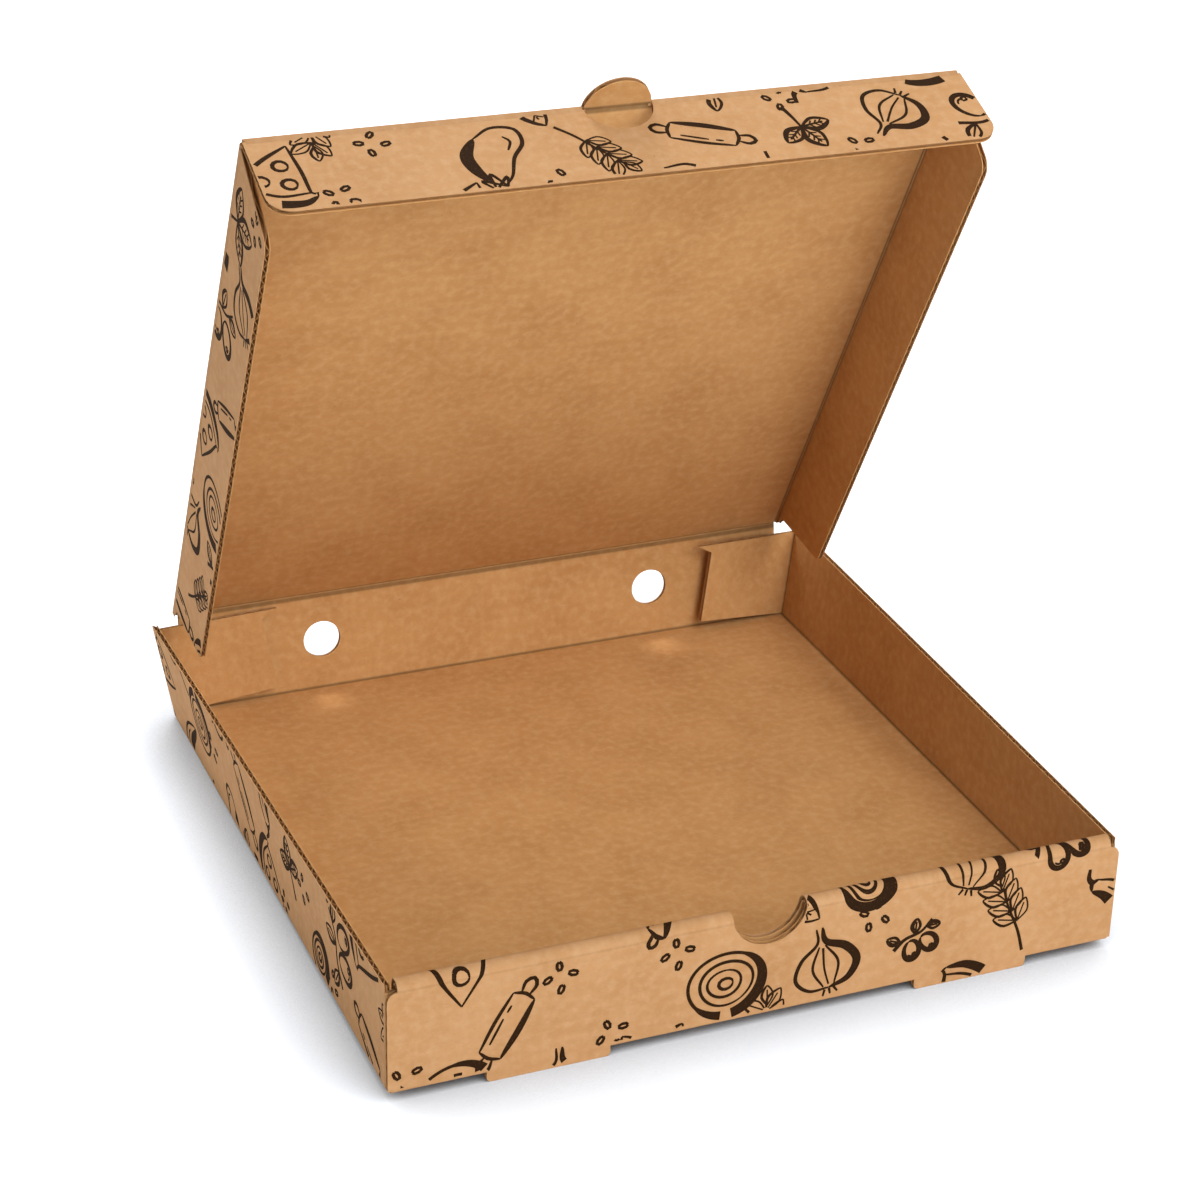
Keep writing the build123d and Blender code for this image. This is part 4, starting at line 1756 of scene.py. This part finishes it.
def rounded(
    before: Point, corner: Point, after: Point, radius: float, steps: int = 6
) -> list[Point]:
    """Rounds the corner of an outline.

    Args:
        before: the point before the corner.
        corner: the corner.
        after: the point after it.
        radius: the rounding's radius.
        steps: number of chords.

    Returns:
        Points along the rounding.
    """
    c = Vector(corner)
    u, v = (Vector(before) - c).normalized(), (Vector(after) - c).normalized()
    half_angle = u.angle(v) / 2
    cut = radius / math.tan(half_angle)
    middle = c + (u + v).normalized() * radius / math.sin(half_angle)
    first, last = c + u * cut - middle, c + v * cut - middle
    sweep = first.angle_signed(last)
    points = []
    for i in range(steps + 1):
        turn = -sweep * i / steps
        cosine, sine = math.cos(turn), math.sin(turn)
        points.append((
            middle.x + first.x * cosine - first.y * sine,
            middle.y + first.x * sine + first.y * cosine,
        ))
    return points


@dataclass(frozen=True)
class Softbox:
    """One soft square lamp: its name, its place and side in metres, and its power in watts."""

    name: str
    place: tuple[float, float, float]
    side: float
    watts: float


@dataclass
class Studio:
    """Camera, lights, floor and world: a white sweep with soft light."""

    # The camera as solved from the photograph's perspective; angles in degrees
    camera_place: tuple[float, float, float] = (-0.46238, -1.086, 0.70314)
    yaw: float = 22.695
    pitch: float = 26.409
    roll: float = -1.464
    focal_px: float = 2930.1
    sensor_mm: float = 36.0
    floor_side: float = 40.0
    world_strength: float = 0.15
    white: str = "#FFFFFF"
    floor_white: str = "#F7F7F7"
    # A cooler white to the camera, so that the kraft's warm bounce leaves a grey shadow
    floor_seen: str = "#EBF3FF"
    # Share of the floor's own white in the camera's view; the rest shows the shadow
    floor_glow: float = 0.5
    glow_strength: float = 1.88
    # How far from the box the painted contact shadow, darkened by ambient occlusion, fades out
    contact_reach: float = 75.0 * MM
    contact_depth: float = 1.5
    contact_samples: int = 4
    # Air between the floor and the edges that the box rests on
    floor_gap: float = 0.05 * MM
    aim: tuple[float, float, float] = (0.0, 0.0, 0.1)
    softboxes: tuple[Softbox, ...] = (
        Softbox("key_softbox", (0.65, -1.55, 1.9), 1.6, 47.0),
        Softbox("front_softbox", (0.2, -2.3, 0.7), 1.4, 21.5),
        Softbox("left_softbox", (-2.0, 0.9, 0.9), 1.4, 15.0),
        Softbox("right_softbox", (2.2, -0.4, 1.1), 1.4, 6.0),
        # From behind, so that it shines through the vent holes onto the tray's floor
        Softbox("rear_softbox", (0.0, 1.25, 1.45), 0.75, 26.0),
    )

    def camera(self) -> None:
        """Places the camera where the photograph was taken from."""
        yaw, pitch, roll = (math.radians(a) for a in (self.yaw, self.pitch, self.roll))
        level = Vector((math.sin(yaw), math.cos(yaw), 0))
        ahead = level * math.cos(pitch) - Vector((0, 0, math.sin(pitch)))
        right = Vector((math.cos(yaw), -math.sin(yaw), 0))
        down = ahead.cross(right)
        image_right = right * math.cos(roll) + down * math.sin(roll)
        image_down = down * math.cos(roll) - right * math.sin(roll)
        data = bpy.data.cameras.new("camera")
        data.sensor_width = self.sensor_mm
        data.lens = self.focal_px / PHOTO_SIDE * self.sensor_mm
        camera = bpy.data.objects.new("camera", data)
        turn = Matrix((image_right, -image_down, -ahead)).transposed()
        camera.matrix_world = Matrix.Translation(self.camera_place) @ turn.to_4x4()
        bpy.context.scene.collection.objects.link(camera)
        bpy.context.scene.camera = camera
        log.info("camera: focal length %.1f mm", data.lens)

    def light(self, softbox: Softbox) -> None:
        """Adds one soft square lamp, turned to the box.

        Args:
            softbox: the lamp to add.
        """
        data = bpy.data.lights.new(softbox.name, "AREA")
        data.shape = "SQUARE"
        data.size = softbox.side
        data.energy = softbox.watts
        lamp = bpy.data.objects.new(softbox.name, data)
        lamp.location = softbox.place
        lamp.rotation_mode = "QUATERNION"
        ray = Vector(self.aim) - Vector(softbox.place)
        lamp.rotation_quaternion = ray.to_track_quat("-Z", "Y")
        bpy.context.scene.collection.objects.link(lamp)

    def seen(self, tree: bpy.types.NodeTree) -> bpy.types.NodeSocket:
        """1 for the rays that show the background: seen, reflected and refracted ones."""
        path = add_node(tree, "ShaderNodeLightPath")
        found = path.outputs["Is Camera Ray"]
        for kind in ("Is Glossy Ray", "Is Transmission Ray"):
            either = add_node(
                tree, "ShaderNodeMath", {"operation": "MAXIMUM"}, None,
                {0: found, 1: path.outputs[kind]},
            )
            found = either.outputs[0]
        return found

    def world(self) -> None:
        """White surroundings, brighter to the camera than as a light."""
        world = bpy.data.worlds.new("white_room")
        bpy.context.scene.world = world
        world.use_nodes = True
        tree = world.node_tree
        tree.nodes.clear()
        glow, seen = (
            add_node(
                tree, "ShaderNodeBackground", None,
                {"Color": linear(self.white), "Strength": strength},
            )
            for strength in (self.world_strength, 1.0)
        )
        mixed = add_node(
            tree, "ShaderNodeMixShader", None, None,
            {0: self.seen(tree), 1: glow.outputs[0], 2: seen.outputs[0]},
        )
        add_node(tree, "ShaderNodeOutputWorld", None, None, {"Surface": mixed.outputs[0]})

    def floor_material(self) -> bpy.types.Material:
        """Painted white board, which shows as white to the camera and keeps the shadow; near the
        box, ambient occlusion paints a darker contact shadow into it.
        """
        material, tree = empty_material("painted_white_sweep")
        seen = self.seen(tree)
        shade = add_node(
            tree, "ShaderNodeMixRGB", None,
            {"Color1": linear(self.floor_white), "Color2": linear(self.floor_seen)},
            {"Fac": seen},
        )
        # Ambient occlusion paints the contact shadow: it darkens the floor's colour and dims its
        # glow near the box
        openness = add_node(
            tree, "ShaderNodeAmbientOcclusion", {"samples": self.contact_samples},
            {"Distance": self.contact_reach},
        )
        shaded = add_node(
            tree, "ShaderNodeMixRGB", {"blend_type": "MULTIPLY"}, None,
            {"Fac": seen, "Color1": shade.outputs[0], "Color2": openness.outputs["AO"]},
        )
        paint = add_node(tree, "ShaderNodeBsdfDiffuse", None, None, {"Color": shaded.outputs[0]})
        glow = add_node(
            tree, "ShaderNodeEmission", None,
            {"Color": linear(self.white), "Strength": self.glow_strength},
        )
        fade = add_node(
            tree, "ShaderNodeMath", {"operation": "POWER"}, {1: self.contact_depth},
            {0: openness.outputs["AO"]},
        )
        glowing = add_node(
            tree, "ShaderNodeMath", {"operation": "MULTIPLY"}, {1: self.floor_glow},
            {0: fade.outputs[0]},
        )
        share = add_node(
            tree, "ShaderNodeMath", {"operation": "MULTIPLY"}, None,
            {0: glowing.outputs[0], 1: seen},
        )
        mixed = add_node(
            tree, "ShaderNodeMixShader", None, None,
            {0: share.outputs[0], 1: paint.outputs[0], 2: glow.outputs[0]},
        )
        add_node(tree, "ShaderNodeOutputMaterial", None, None, {"Surface": mixed.outputs[0]})
        return material

    def floor(self, tray: FoldedTray) -> None:
        """Lays the floor against the front lips and the rear edge, on which the box rests.

        Args:
            tray: the tray that the floor lies under.
        """
        front_y = tray.front + BOARD.thickness
        slope = tray.lip_drop / (tray.rear_foot - front_y)
        half = self.floor_side / 2
        mesh = bmesh.new()
        corners = []
        for x, y in ((-half, -half), (half, -half), (half, half), (-half, half)):
            corners.append(mesh.verts.new((x, y, (y - front_y) * slope - self.floor_gap)))
        mesh.faces.new(corners)
        data = bpy.data.meshes.new("sweep")
        mesh.to_mesh(data)
        mesh.free()
        data.materials.append(self.floor_material())
        sweep = bpy.data.objects.new("sweep", data)
        bpy.context.scene.collection.objects.link(sweep)

    def build(self, tray: FoldedTray) -> None:
        """Sets the whole studio up.

        Args:
            tray: the tray that the floor lies under.
        """
        self.camera()
        self.world()
        self.floor(tray)
        for softbox in self.softboxes:
            self.light(softbox)
        bpy.context.scene.view_settings.view_transform = "Standard"


def main() -> None:
    """Builds the box and its studio."""
    materials = [finish.build() for finish in (TOP_LINER, INNER_LINER, FLUTING_PAPER)]
    printing = Printing(FLEXO_INK.build())
    tray = FoldedTray()
    tray.build(materials, printing)
    HingedLid().build(materials, printing)
    Studio().build(tray)


if __name__ == "__main__":
    main()
